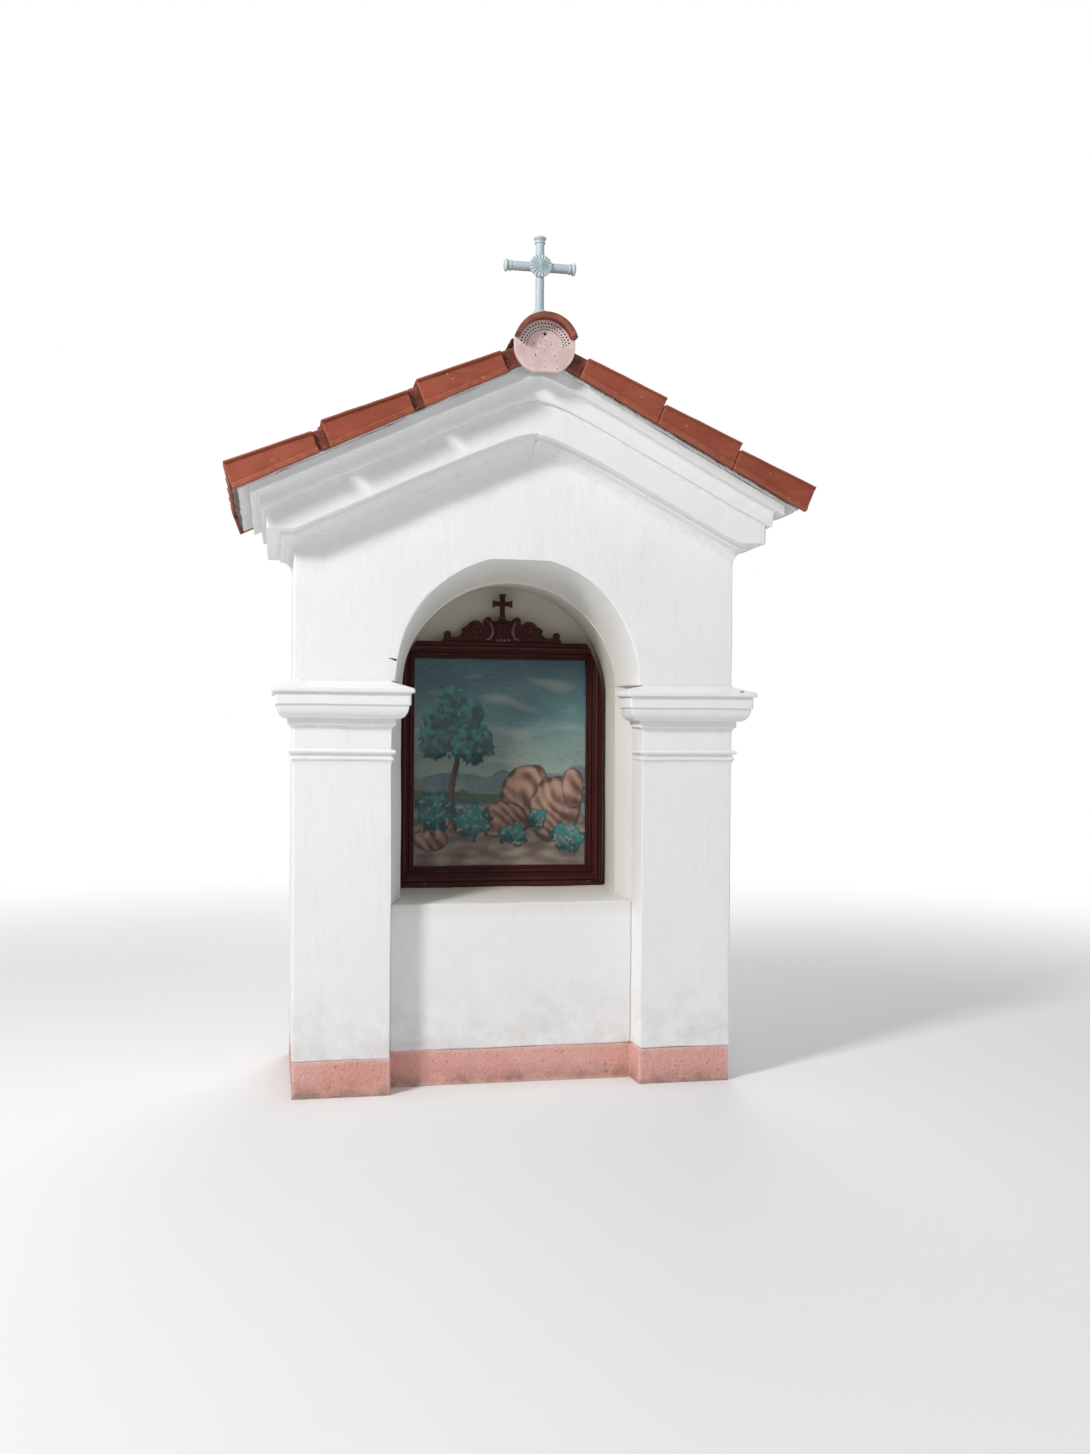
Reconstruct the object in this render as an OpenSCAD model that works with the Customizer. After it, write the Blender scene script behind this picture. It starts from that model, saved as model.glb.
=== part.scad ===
// Wayside niche shrine: plastered masonry with two piers, an arched niche for a framed
// picture, a raking cornice and a small gabled roof of interlocking clay tiles.
// The front faces -Y, the origin is the middle of the footprint at ground level.

/* [Masonry body] */
// Width of the body across the two piers
body_w = 1600; // [1500:10:1760]
// Depth of the body from front to rear
body_d = 700; // [600:10:900]
// Width of the ledge between each pier and the edge of the arch
jamb_ledge = 14; // [8:1:24]
// Set-back of the parapet behind the face of the piers
pier_proj = 105; // [70:5:140]
// Taper of each pier's inner side from front to back
pier_taper = 8; // [0:1:12]
// Height of the painted plinth band
plinth_h = 130; // [80:5:250]
// Height of the niche sill's front edge
sill_z = 660; // [560:10:760]
// Thickness of the plastered sill course
sill_t = 40; // [25:5:60]
// Fall of the sill from back to front
sill_fall = 28; // [10:2:36]

/* [Niche] */
// Clearance between the picture frame and the back of the niche's sides
frame_clear = 16; // [10:1:24]
// Depth of the splayed part of the reveal
neck_depth = 205; // [160:5:240]
// Widening of the arch from the inner end of the splay to the front face
neck_splay = 40; // [24:1:54]
// Drop of the arch centre over the splay
neck_drop = 28; // [10:2:36]
// Width of the arris step behind the splay
neck_step = 4; // [2:1:6]
// Depth of the niche from the front face to its back
niche_depth = 425; // [380:5:460]
// Widening of the niche from the arris step to its back
back_flare = 6; // [1:1:10]
// Clearance between the small cross on the picture and the crown of the niche
crown_gap = 28; // [20:2:60]

/* [Imposts and neckings] */
// Height of the sloping top of the impost
weather_h = 24; // [10:2:40]
// Height of the thin cap slab
cap_h = 16; // [10:1:24]
// Height of the fascia under the cap
fascia_h = 42; // [30:2:54]
// Height of the ovolo
ovolo_h = 47; // [34:1:56]
// Height of the step under the ovolo
step_h = 23; // [14:1:30]
// Height of the hollow under the step
hollow_h = 21; // [12:1:28]
// Projection of the cap slab
cap_proj = 75; // [66:1:84]
// Projection of the fascia
fascia_proj = 63; // [58:1:65]
// Projection of the ovolo's foot
ovolo_proj = 24; // [20:1:30]
// Projection of the step
step_proj = 15; // [12:1:19]
// Height of the plain frieze
frieze_h = 63; // [40:1:80]
// Diameter of the half-round astragal
astragal_d = 17; // [12:1:24]
// Projection of the astragal
astragal_proj = 16; // [12:1:20]
// Height of the groove between astragal and fillet
groove_h = 11; // [6:1:16]
// Height of the fillet
fillet_h = 8; // [5:1:12]
// Projection of the fillet
fillet_proj = 9; // [6:1:11]
// Height of the cove between fillet and shaft
cove_h = 28; // [20:1:36]

/* [Cornices] */
// Projection of the crown member
crown_proj = 150; // [136:2:164]
// Height of the crown's flat edge, square to the slope
rake_edge_h = 32; // [24:1:40]
// Height of the cyma
rake_cyma_h = 54; // [44:1:62]
// Height of the flat corona
rake_corona_h = 104; // [90:1:116]
// Height of the bed moulding
rake_bed_h = 60; // [44:1:66]
// Projection of the head of the cyma
cyma_top_proj = 124; // [116:1:130]
// Projection of the foot of the cyma
cyma_proj = 106; // [102:1:112]
// Projection of the corona
corona_proj = 95; // [86:1:98]
// Projection of the bed moulding
bed_proj = 46; // [38:1:54]

/* [Roof] */
// Overhang of the tile bed past the crown along the eaves
eaves_overhang = 50; // [30:5:90]
// Height of the eaves over the springing of the arch
attic_h = 628; // [580:4:680]
// Rise of the roof from the eaves to the ridge
roof_rise = 501; // [460:1:560]
// Set-off of the ridge to the right of the middle
ridge_shift = 44; // [0:4:60]
// Thickness of the boards and mortar under the tiles
bed_t = 45; // [35:1:55]
// Overhang of the verge tiles past the crown at the front and rear
verge_overhang = 60; // [40:5:90]
// Number of tile courses on each slope
courses = 3; // [3:1:4]
// Number of tile columns between the verge tiles
tile_cols = 3; // [2:1:4]
// Thickness of a tile
tile_t = 24; // [18:1:28]
// Distance from the ridge line to the nose of the top course
top_nose = 450; // [430:5:470]
// Lap of one course over the next
tile_lap = 60; // [40:5:80]
// Height of the roll along a tile's edge
roll_h = 24; // [12:1:30]
// Width of the roll at its foot
roll_w = 96; // [70:2:110]
// Width of a verge tile on the slope
verge_w = 232; // [200:2:260]
// Gap between the hanging flanges of the verge tiles on the left slope
flange_gap_left = 42; // [4:1:60]
// Gap between the flanges on the right slope
flange_gap_right = 3; // [2:1:40]
// Thickness of the hanging flange
flange_t = 24; // [16:1:28]
// Length of the set-back flange that runs in under the next tile
neck_len = 76; // [60:2:90]
// Thickness of the lip along the flange's lower edge
lip_t = 7; // [4:1:10]
// Height of that lip
lip_h = 18; // [10:1:26]

/* [Ridge] */
// Outer radius of the half-round ridge tiles
ridge_r = 113; // [106:1:120]
// Wall thickness of the ridge tiles
ridge_wall = 18; // [14:1:22]
// Height of the ridge tiles' centre over the underside of the bed
ridge_rise = 31; // [24:1:36]
// Clearance between the rolls of the tiles and the ridge tiles' lower edges
ridge_clear = 6; // [3:1:12]
// Lap of the ridge tiles over the heads of the top course
ridge_lap = 43; // [30:1:55]
// Projection of the ridge tiles past the verge tiles
ridge_nose = 36; // [20:2:50]
// Number of ridge tiles
ridge_count = 3; // [2:1:4]
// Width of the collar at each joint of the ridge tiles
collar_w = 46; // [30:2:60]
// Thickness of that collar
collar_t = 8; // [4:1:12]
// Half width of the end cap's lower part
cap_r = 107; // [98:1:112]
// Thickness of the end cap
cap_t = 20; // [14:1:26]
// Depth of the end cap's oval lower part
cap_deep = 96; // [90:1:104]
// Depth at which its flat foot cuts that oval
cap_foot = 86; // [70:1:89]
// Rise of the ventilation hole over the ridge tiles' centre
vent_rise = 45; // [30:1:60]
// Diameter of the ventilation hole in the end cap
vent_d = 12; // [8:1:18]

/* [Cross] */
// Diameter of the upright
shaft_d = 31; // [26:1:36]
// Diameter of the arms
arm_d = 33; // [28:1:38]
// Span of the arms over their end caps
arm_span = 262; // [230:2:300]
// Height of the arms over the top of the ridge
arm_rise = 196; // [180:2:230]
// Height of the cross over the top of the ridge
cross_h = 306; // [290:2:340]
// Diameter of the end caps
knob_d = 46; // [40:1:52]
// Thickness of the end caps
knob_t = 18; // [14:1:22]
// Diameter of the rosette
rosette_d = 80; // [70:1:90]
// Thickness of the rosette's rim
rosette_t = 10; // [6:1:14]
// Number of rays on the rosette
rays = 16; // [12:1:24]
// Set-back of the cross behind the tip of the front ridge tile
cross_back = 110; // [80:5:200]
// Diameter of the foot that holds the upright
foot_d = 74; // [60:2:90]
// Height of the foot
foot_h = 42; // [30:2:60]

/* [Picture] */
// Width of the frame
frame_w = 796; // [780:2:804]
// Height of the frame
frame_h = 944; // [900:4:960]
// Thickness of the frame
frame_t = 42; // [30:1:50]
// Width of the side stiles
stile_w = 60; // [52:1:70]
// Height of the bottom rail
bottom_rail_h = 79; // [70:1:90]
// Height of the top rail
top_rail_h = 64; // [56:1:76]
// Thickness of the backing panel
panel_t = 12; // [8:1:16]
// Thickness of the glass
glass_t = 4; // [3:1:6]
// Clearance between seated pieces
seat = 0.3; // [0.2:0.1:0.6]
// Width of the carved crest
crest_w = 472; // [466:2:540]
// Height of the crest's two middle volutes over the frame
crest_h = 98; // [92:1:106]
// Distance of those volutes from the middle
volute_x = 56; // [50:1:60]
// Radius of those volutes
volute_r = 16; // [12:1:18]
// Height of the crest's middle, where the small cross stands
saddle_h = 86; // [80:1:90]
// Height of the crest's humps
hump_h = 82; // [76:1:86]
// Distance of the humps from the middle
hump_x = 106; // [104:1:112]
// Height of the crest's low outer run
run_h = 18; // [14:1:22]
// Distance of the end scrolls from the middle
scroll_x = 214; // [204:1:224]
// Radius of the end scrolls
scroll_r = 14; // [11:1:16]
// Thickness of the crest board
crest_t = 22; // [16:1:28]
// Set-back of the crest board from the frame's face
crest_inset = 6; // [4:1:10]
// Half width of the cartouche at its waist
cartouche_waist = 34; // [28:1:38]
// Half width of the cartouche at its head and foot
cartouche_half = 60; // [54:1:66]
// Height of the cartouche
cartouche_h = 72; // [64:1:78]
// Thickness of the cartouche
cartouche_t = 12; // [8:1:16]
// Height of the small cross on the crest
crest_cross_h = 100; // [84:1:112]
// Span of its arms
crest_cross_w = 78; // [66:1:88]
// Width of its bars at the middle
crest_bar_w = 18; // [14:1:22]
// Width of its flared ends
crest_flare_w = 30; // [24:1:36]
// Thickness of the small cross
crest_cross_t = 16; // [12:1:20]

/* [Hidden] */
half_w = body_w / 2;
front = -body_d / 2;
rear = body_d / 2;
back_r = frame_w / 2 + frame_clear;
neck_r = back_r - back_flare - neck_step;
arch_r = neck_r + neck_splay;
opening = arch_r + jamb_ledge;
recess_y = front + pier_proj;
recess_x = opening - pier_taper;
neck_y = front + neck_depth;
back_y = front + niche_depth;
crown_z = sill_z + sill_fall + frame_h + saddle_h + crest_cross_h + crown_gap;
spring_z = crown_z - back_r + neck_drop;
neck_z = spring_z - neck_drop;
smooth = 64;
quirk = 6;

impost_h = weather_h + cap_h + fascia_h + ovolo_h + step_h + hollow_h;
impost_z = spring_z - impost_h;
necking_h = frieze_h + astragal_d + groove_h + fillet_h + cove_h;
necking_z = impost_z - necking_h;

eaves_z = spring_z + attic_h;
ridge_z = eaves_z + roof_rise;
roof_half = half_w + crown_proj + eaves_overhang;
left_run = roof_half + ridge_shift;
right_run = roof_half - ridge_shift;
verge_y = body_d / 2 + crown_proj + verge_overhang;
bed_y = verge_y - 2 * flange_t - 2 * seat;
bed_setback = 12;
tilt_fillet_w = 50;
tile_half = verge_y - verge_w;
col_w = 2 * tile_half / tile_cols;
roll_steps = 8;

crest_y = ridge_z + ridge_rise;
ridge_top = crest_y + ridge_r;
ridge_sit = roll_h + ridge_clear;
ridge_end = verge_y + ridge_nose;
tile_head = ridge_r - ridge_lap;
mortar_gap = 8;

frame_y = back_y - seat - panel_t - frame_t;
frame_z = sill_z + sill_fall + seat;
frame_top = frame_z + frame_h;
corner_r = frame_w / 2;
corner_drop = 16;
corner_z = neck_z - corner_drop;
sight_w = frame_w - 2 * stile_w;
rebate = 12;
panel_lap = 45;

plaster = [0.93, 0.93, 0.94];
band_pink = [0.78, 0.48, 0.44];
terracotta = [0.62, 0.27, 0.22];
mortar = [0.55, 0.52, 0.48];
oxblood = [0.30, 0.11, 0.11];
cross_grey = [0.74, 0.80, 0.84];
cap_pink = [0.88, 0.76, 0.74];
panel_blue = [0.55, 0.66, 0.66];
glass_tint = [0.80, 0.88, 0.88, 0.35];

// Pitch of one slope, for side = -1 on the left and 1 on the right
function run(side) = side < 0 ? left_run : right_run;
function pitch(side) = atan(roof_rise / run(side));
function slope_len(side) = run(side) / cos(pitch(side));
function exposure(side) = (slope_len(side) - top_nose) / (courses - 1);
function flange_len(side) = exposure(side) - (side < 0 ? flange_gap_left : flange_gap_right);
// Height of the underside of the tile bed at x
function roof_z(x) = ridge_z - abs(x - ridge_shift) * roof_rise / run(x < ridge_shift ? -1 : 1);
// Rise of the tiles over one tile length, so that each nose lies on the course below
function tile_rise(side) = tile_t * (exposure(side) + tile_lap) / exposure(side);

// Points of a round moulding in its profile plane
function arc(cx, cy, r, a0, a1, steps = 6) =
    [for (i = [0 : steps]) let (a = a0 + (a1 - a0) * i / steps) [cx + r * cos(a), cy + r * sin(a)]];
// Quarter of an ellipse from angle a0 to a1
function oval(cx, cy, rx, ry, a0, a1, steps = 6) =
    [for (i = [0 : steps]) let (a = a0 + (a1 - a0) * i / steps) [cx + rx * cos(a), cy + ry * sin(a)]];

// A profile drawn in X and Z, run along Y from y0 to y1
module along_y(y0, y1) {
    translate([0, y1, 0]) rotate([90, 0, 0]) linear_extrude(y1 - y0) children();
}
// A profile drawn in Y and Z, run along X from x0 to x1
module along_x(x0, x1) {
    translate([x0, 0, 0]) rotate([90, 0, 90]) linear_extrude(x1 - x0) children();
}
// A plan drawn in X and Y, raised from z0 to z1
module rise(z0, z1) {
    translate([0, 0, z0]) linear_extrude(z1 - z0) children();
}
module mirrored(side) {
    if (side < 0) mirror([1, 0, 0]) children();
    else children();
}
// Local axes of a slope: X down the slope from the ridge, Z away from the bed's underside
module on_slope(side) {
    translate([ridge_shift, 0, ridge_z]) mirrored(side) rotate([0, pitch(side), 0]) children();
}

// Plan of the right-hand wall behind the pier, with the splayed reveal
reveal = [[recess_x, recess_y], [neck_r, neck_y], [neck_r + neck_step, neck_y], [back_r, back_y]];
wall_plan = concat([[half_w, recess_y]], reveal, [[back_r, rear], [half_w, rear]]);
pier_plan = [[half_w, front], [opening, front], [recess_x, recess_y], [half_w, recess_y]];
block_plan = concat([[half_w, front], [opening, front]], reveal, [[back_r, rear], [half_w, rear]]);
// The space between the two walls, from the parapet's face to y
function between(y) = concat(
    [for (i = [len(reveal) - 1 : -1 : 0]) [-reveal[i][0], reveal[i][1]]], reveal,
    [[back_r, y], [-back_r, y]]
);

module plinth(side) {
    color(band_pink) mirrored(side) rise(0, plinth_h) polygon(block_plan);
}
module plinth_parapet() {
    color(band_pink) rise(0, plinth_h) polygon(between(rear));
}
module pier(side) {
    color(plaster) mirrored(side) rise(plinth_h, necking_z) polygon(pier_plan);
}
module side_wall(side) {
    color(plaster) mirrored(side) rise(plinth_h, necking_z) polygon(wall_plan);
}
module parapet_wall() {
    color(plaster) rise(plinth_h, sill_z - sill_t) polygon(between(back_y));
}
module niche_sill() {
    color(plaster) intersection() {
        rise(sill_z - sill_t, sill_z + sill_fall) polygon(between(back_y));
        along_x(-half_w, half_w) polygon([
            [recess_y, sill_z - sill_t], [back_y, sill_z - sill_t],
            [back_y, sill_z + sill_fall], [back_y - frame_t - panel_t - rebate, sill_z + sill_fall],
            [recess_y, sill_z]
        ]);
    }
}
module niche_back_wall() {
    color(plaster) rise(plinth_h, spring_z)
        polygon([[-back_r, back_y], [back_r, back_y], [back_r, rear], [-back_r, rear]]);
}

// Outline of the necking as [projection, height], from the bottom up
necking_profile = let (
    fillet_z = necking_z + cove_h, groove_z = fillet_z + fillet_h,
    bead_z = groove_z + groove_h, frieze_z = bead_z + astragal_d
) concat(
    oval(fillet_proj, necking_z, fillet_proj, cove_h, 180, 90),
    [[fillet_proj, groove_z], [fillet_proj / 2, groove_z], [fillet_proj / 2, bead_z]],
    oval(fillet_proj / 2, bead_z + astragal_d / 2, astragal_proj - fillet_proj / 2, astragal_d / 2, -90, 90),
    [[0, frieze_z], [0, impost_z]]
);
// Outline of the impost, from the bottom up
impost_profile = let (
    step_z = impost_z + hollow_h, ovolo_z = step_z + step_h, fascia_z = ovolo_z + ovolo_h,
    cap_z = fascia_z + fascia_h
) concat(
    [[0, impost_z]],
    oval(step_proj, impost_z, step_proj, hollow_h, 180, 90),
    [[step_proj, ovolo_z], [ovolo_proj, ovolo_z]],
    oval(ovolo_proj, fascia_z, fascia_proj - ovolo_proj - quirk, ovolo_h, -90, 0),
    [
        [fascia_proj, fascia_z], [fascia_proj, cap_z], [cap_proj, cap_z],
        [cap_proj, cap_z + cap_h], [0, spring_z]
    ]
);

// A course of the wall with a moulding along its front, its outer side and the pier's reveal
module moulded_course(profile, z0, z1) {
    reach = cap_proj + 1;
    front_run = [for (p = profile) [front - p[0], p[1]]];
    outer_run = [for (p = profile) [half_w + p[0], p[1]]];
    inner_run = [for (p = profile) [opening - p[0], p[1]]];
    rise(z0, z1) polygon(block_plan);
    intersection() {
        along_x(0, half_w + reach) polygon(concat(front_run, [[rear, z1], [rear, z0]]));
        union() {
            along_y(recess_y, rear) polygon(concat(outer_run, [[half_w - 1, z1], [half_w - 1, z0]]));
            along_y(front - reach, recess_y)
                polygon(concat(outer_run, [for (i = [len(profile) - 1 : -1 : 0]) inner_run[i]]));
        }
    }
}
module necking(side) {
    color(plaster) mirrored(side) moulded_course(necking_profile, necking_z, impost_z);
}
module impost(side) {
    color(plaster) mirrored(side) moulded_course(impost_profile, impost_z, spring_z);
}

// Front outline of the masonry over the springing, up to the underside of the tile bed
gable_outline = [
    [-half_w, spring_z], [half_w, spring_z], [half_w, roof_z(half_w)],
    [ridge_shift, ridge_z], [-half_w, roof_z(-half_w)]
];
// The arch: a splayed barrel whose centre drops to the neck, then a second one to the back
module niche_void() {
    over = 60;
    drop = atan(neck_drop / neck_depth);
    axis = neck_depth / cos(drop);
    grow = over * (arch_r - neck_r) / axis;
    intersection() {
        translate([0, front, spring_z]) rotate([-90 - drop, 0, 0]) translate([0, 0, -over])
            cylinder(h = axis + 2 * over, r1 = arch_r + grow, r2 = neck_r - grow, $fn = smooth);
        translate([-half_w, front - over / 2, sill_z]) cube([body_w, neck_depth + over / 2, ridge_z]);
    }
    translate([0, neck_y, neck_z]) rotate([-90, 0, 0])
        cylinder(h = niche_depth - neck_depth + 1, r1 = neck_r + neck_step, r2 = back_r, $fn = smooth);
}
module front_gable() {
    color(plaster) difference() {
        along_y(front, back_y) polygon(gable_outline);
        niche_void();
    }
}
module attic_masonry() {
    color(plaster) along_y(back_y, rear) polygon(gable_outline);
}

// Crown and cyma of the cornice as [projection, height square to the slope]
crown_profile = let (
    cyma = -rake_edge_h - rake_cyma_h, mid = (cyma_top_proj - cyma_proj) / 2, half_h = rake_cyma_h / 2
) concat(
    [[0, 0], [crown_proj, 0], [crown_proj, -rake_edge_h], [cyma_top_proj, -rake_edge_h]],
    oval(cyma_top_proj, cyma + half_h, mid, half_h, 90, 180),
    oval(cyma_proj, cyma + half_h, mid, half_h, 0, -90),
    [[corona_proj, cyma]]
);
soffit = -rake_edge_h - rake_cyma_h - rake_corona_h;
// The bed moulding under a soffit at height z, with its heights stretched by k
function bed_profile(z, k) = concat(
    [[bed_proj, z], [bed_proj, z - 2 * quirk * k]],
    oval(bed_proj, z - rake_bed_h * k, bed_proj, (rake_bed_h - 2 * quirk) * k, 90, 180),
    [[0, z - rake_bed_h * k]]
);
// Height of the level soffit along the side
function side_soffit(side) = roof_z(side * half_w) + soffit / cos(pitch(side));

// The cornice climbs the gable; past the corner its soffit and bed run level to the mitre
module raking_cornice(side) {
    reach = crown_proj + bed_setback;
    over = 2 * crown_proj;
    level = side_soffit(side);
    levelled = concat([[0, ridge_z], [reach, ridge_z], [reach, level]],
        bed_profile(level, 1 / cos(pitch(side))));
    raked = concat(crown_profile, [[corona_proj, soffit]], bed_profile(soffit, 1));
    color(plaster) intersection() {
        on_slope(side) along_x(-over, slope_len(side) + over)
            polygon([for (p = raked) [front - p[0], p[1]]]);
        along_x(-half_w - reach, half_w + reach)
            polygon([for (p = levelled) [front - p[0], p[1]]]);
        rise(spring_z, ridge_z) polygon([
            [ridge_shift, front], [side * half_w, front],
            [side * (half_w + reach), front - reach], [ridge_shift, front - reach]
        ]);
    }
}
// Outline of the side cornice in X and Z, where the mitre carries the raking one round
function eaves_outline(side) = let (k = 1 / cos(pitch(side)), level = side_soffit(side)) concat(
    [for (p = crown_profile) [half_w + p[0], roof_z(side * (half_w + p[0])) + k * p[1]]],
    [for (p = concat([[corona_proj, level]], bed_profile(level, k))) [half_w + p[0], p[1]]]
);
module eaves_cornice(side) {
    reach = crown_proj + bed_setback;
    color(plaster) mirrored(side) intersection() {
        along_y(front - reach, rear + reach) polygon(eaves_outline(side));
        rise(spring_z, ridge_z) polygon([
            [half_w, front], [half_w + reach, front - reach],
            [half_w + reach, rear + reach], [half_w, rear]
        ]);
    }
}

// Section of the tile bed, with a fillet along the eaves that tilts the lowest course
module tile_bed(side) {
    over = 2 * ridge_r;
    len = slope_len(side);
    kick = tile_rise(side);
    fall = kick / (exposure(side) + tile_lap);
    edge = len - bed_setback;
    heel = edge - tilt_fillet_w;
    top = bed_t + kick - seat;
    color(mortar) intersection() {
        on_slope(side) along_y(-bed_y, bed_y) polygon([
            [-over, 0], [edge, 0], [edge, top - bed_setback * fall],
            [heel, top - (bed_setback + tilt_fillet_w) * fall], [heel, bed_t], [-over, bed_t]
        ]);
        half_space(side);
    }
}
// Everything on one side of the vertical plane through the ridge
module half_space(side) {
    size = 2 * roof_half;
    translate([side < 0 ? ridge_shift - size : ridge_shift, -size, 0]) cube([size, 2 * size, 2 * size]);
}
// Height of a tile's face over its pan at v across the columns
function roll(v) = let (
    c = round((v + tile_half) / col_w) * col_w - tile_half, d = abs(v - c)
) d < roll_w / 2 ? roll_h * (1 + cos(360 * d / roll_w)) / 2 : 0;
tile_stations = [
    for (i = [0 : tile_cols]) for (j = [-roll_steps / 2 : roll_steps / 2])
        let (v = -tile_half + i * col_w + j * roll_w / roll_steps)
        if (v >= -tile_half && v <= tile_half) v
];
// Places the nose of course i; the children run from X = 0 at the nose up to -tile length
module course(side, i) {
    length = exposure(side) + tile_lap;
    nose = slope_len(side) - (courses - 1 - i) * exposure(side);
    on_slope(side) translate([nose, 0, bed_t + tile_rise(side)])
        rotate([0, -asin(tile_rise(side) / length), 0]) children();
}
function tile_length(side, i) =
    i == 0 ? top_nose - tile_head : exposure(side) + tile_lap;
module roof_tiles(side) {
    color(terracotta) for (i = [0 : courses - 1]) course(side, i)
        translate([-tile_length(side, i), 0, 0]) rotate([90, 0, 90])
            linear_extrude(tile_length(side, i)) polygon(concat(
                [for (v = tile_stations) [v, roll(v) + tile_t - seat]],
                [for (k = [len(tile_stations) - 1 : -1 : 0]) [tile_stations[k], roll(tile_stations[k])]]
            ));
}
// Verge tiles along the front edge of a slope
module verge_tiles(side) {
    color(terracotta) for (i = [0 : courses - 1]) course(side, i) verge_tile(side, tile_length(side, i));
}
// One verge tile: its plate, the hanging flange with a lip, and the set-back neck above it
module verge_tile(side, length) {
    top = tile_t - seat;
    flange = flange_len(side);
    drop = bed_t + tile_rise(side);
    climb = tan(asin(tile_rise(side) / (exposure(side) + tile_lap)));
    foot = -drop + flange * climb;
    inner = -verge_y + flange_t;
    neck = min(neck_len, length - flange);
    width = verge_w - flange_t - seat;
    translate([-flange, inner, 0]) cube([flange, width, top]);
    translate([-length, inner + seat, 0]) cube([length - flange, width - seat, top]);
    along_y(-verge_y + lip_t, inner)
        polygon([[-flange, top], [0, top], [0, -drop], [-flange, foot]]);
    along_y(-verge_y, -verge_y + lip_t) {
        polygon([[0, -drop], [0, lip_h - drop], [-flange, lip_h + foot], [-flange, foot]]);
        polygon([[-flange, top - lip_t], [-flange, top], [0, top], [0, top - lip_t]]);
    }
    along_y(inner + seat, inner + flange_t)
        polygon([
            [-flange - neck, top], [-flange, top], [-flange, foot + lip_t],
            [-flange - neck, foot + lip_t + neck * climb]
        ]);
}

module ridge_ring(r_out, r_in, y0, y1) {
    intersection() {
        translate([ridge_shift, y1, crest_y]) rotate([90, 0, 0]) difference() {
            cylinder(h = y1 - y0, r = r_out, $fn = smooth);
            translate([0, 0, -1]) cylinder(h = y1 - y0 + 2, r = r_in, $fn = smooth);
        }
        translate([ridge_shift - 2 * ridge_r, y0, crest_y + ridge_sit])
            cube([4 * ridge_r, y1 - y0, 2 * ridge_r]);
    }
}
module ridge_tiles() {
    inner = ridge_r - ridge_wall;
    pitch_y = 2 * ridge_end / ridge_count;
    color(terracotta) {
        ridge_ring(ridge_r - collar_t, inner, -ridge_end, ridge_end);
        for (i = [0 : ridge_count - 1])
            ridge_ring(ridge_r, inner, -ridge_end + i * pitch_y, -ridge_end + i * pitch_y + collar_w);
        ridge_ring(ridge_r, inner, ridge_end - collar_w, ridge_end);
    }
}
module ridge_mortar() {
    inner = ridge_r - ridge_wall - seat;
    reach = 4 * ridge_r;
    color(mortar) difference() {
        translate([ridge_shift, bed_y, crest_y]) rotate([90, 0, 0])
            cylinder(h = 2 * bed_y, r = inner, $fn = smooth);
        for (side = [-1, 1]) on_slope(side) {
            translate([-reach, -verge_y, -reach]) cube([2 * reach, 2 * verge_y, reach + bed_t]);
            translate([tile_head - mortar_gap, -verge_y, 0])
                cube([reach, 2 * verge_y, bed_t + tile_t + roll_h + mortar_gap]);
        }
    }
}
// The end cap: a disc inside the ridge tile and a wider oval below it, cut to a flat foot
module end_cap_outline() {
    foot_angle = asin(cap_foot / cap_deep);
    translate([ridge_shift, crest_y]) {
        circle(ridge_r - ridge_wall - seat, $fn = smooth);
        polygon(concat(
            [[-cap_r, ridge_sit - seat]], oval(0, 0, cap_r, cap_deep, 180, 180 + foot_angle, 8),
            oval(0, 0, cap_r, cap_deep, -foot_angle, 0, 8), [[cap_r, ridge_sit - seat]]
        ));
    }
}
module ridge_end_caps() {
    face = verge_y - flange_t;
    color(cap_pink) for (y0 = [-face - cap_t, face])
        difference() {
            along_y(y0, y0 + cap_t) intersection() {
                end_cap_outline();
                translate([ridge_shift - 2 * cap_r, crest_y - cap_foot]) square(4 * cap_r);
            }
            translate([ridge_shift, y0 - 1, crest_y + vent_rise]) rotate([-90, 0, 0])
                cylinder(h = cap_t + 2, d = vent_d, $fn = smooth);
        }
}

cross_y = -verge_y + cross_back;
module at_cross(z) {
    translate([ridge_shift, cross_y, ridge_top + z]) children();
}
module cross_foot() {
    color(cross_grey) difference() {
        translate([ridge_shift, cross_y, crest_y]) {
            cylinder(h = ridge_r - collar_t + foot_h * 0.4, d = foot_d, $fn = smooth);
            translate([0, 0, ridge_r - collar_t + foot_h * 0.4])
                cylinder(h = foot_h * 0.6 + collar_t, d1 = foot_d, d2 = shaft_d + 12, $fn = smooth);
        }
        translate([ridge_shift, 0, crest_y]) rotate([90, 0, 0])
            cylinder(h = 4 * verge_y, r = ridge_r - collar_t + seat, center = true, $fn = smooth);
        at_cross(0) cylinder(h = foot_h + 1, d = shaft_d + 2 * seat, $fn = smooth);
    }
}
module cross_upright() {
    color(cross_grey) at_cross(seat) cylinder(h = cross_h - knob_t - 2 * seat, d = shaft_d, $fn = smooth);
}
module cross_arms() {
    half = arm_span / 2 - knob_t;
    color(cross_grey) for (side = [-1, 1])
        at_cross(arm_rise) rotate([0, side * 90, 0]) difference() {
            cylinder(h = half - seat, d = arm_d, $fn = smooth);
            rotate([0, 90, 0]) cylinder(h = 2 * arm_d, d = shaft_d + 2 * seat, center = true, $fn = smooth);
        }
}
module knob() {
    edge = 4;
    side_h = 0.6 * knob_t;
    rotate_extrude($fn = smooth) polygon(concat(
        [[0, 0], [knob_d / 2 - edge, 0], [knob_d / 2, edge], [knob_d / 2, side_h]],
        oval(0, side_h, knob_d / 2, knob_t - side_h, 15, 90, 4)
    ));
}
module cross_end_caps() {
    color(cross_grey) {
        at_cross(cross_h - knob_t) knob();
        for (side = [-1, 1]) at_cross(arm_rise) rotate([0, side * 90, 0])
            translate([0, 0, arm_span / 2 - knob_t]) knob();
    }
}
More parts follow.
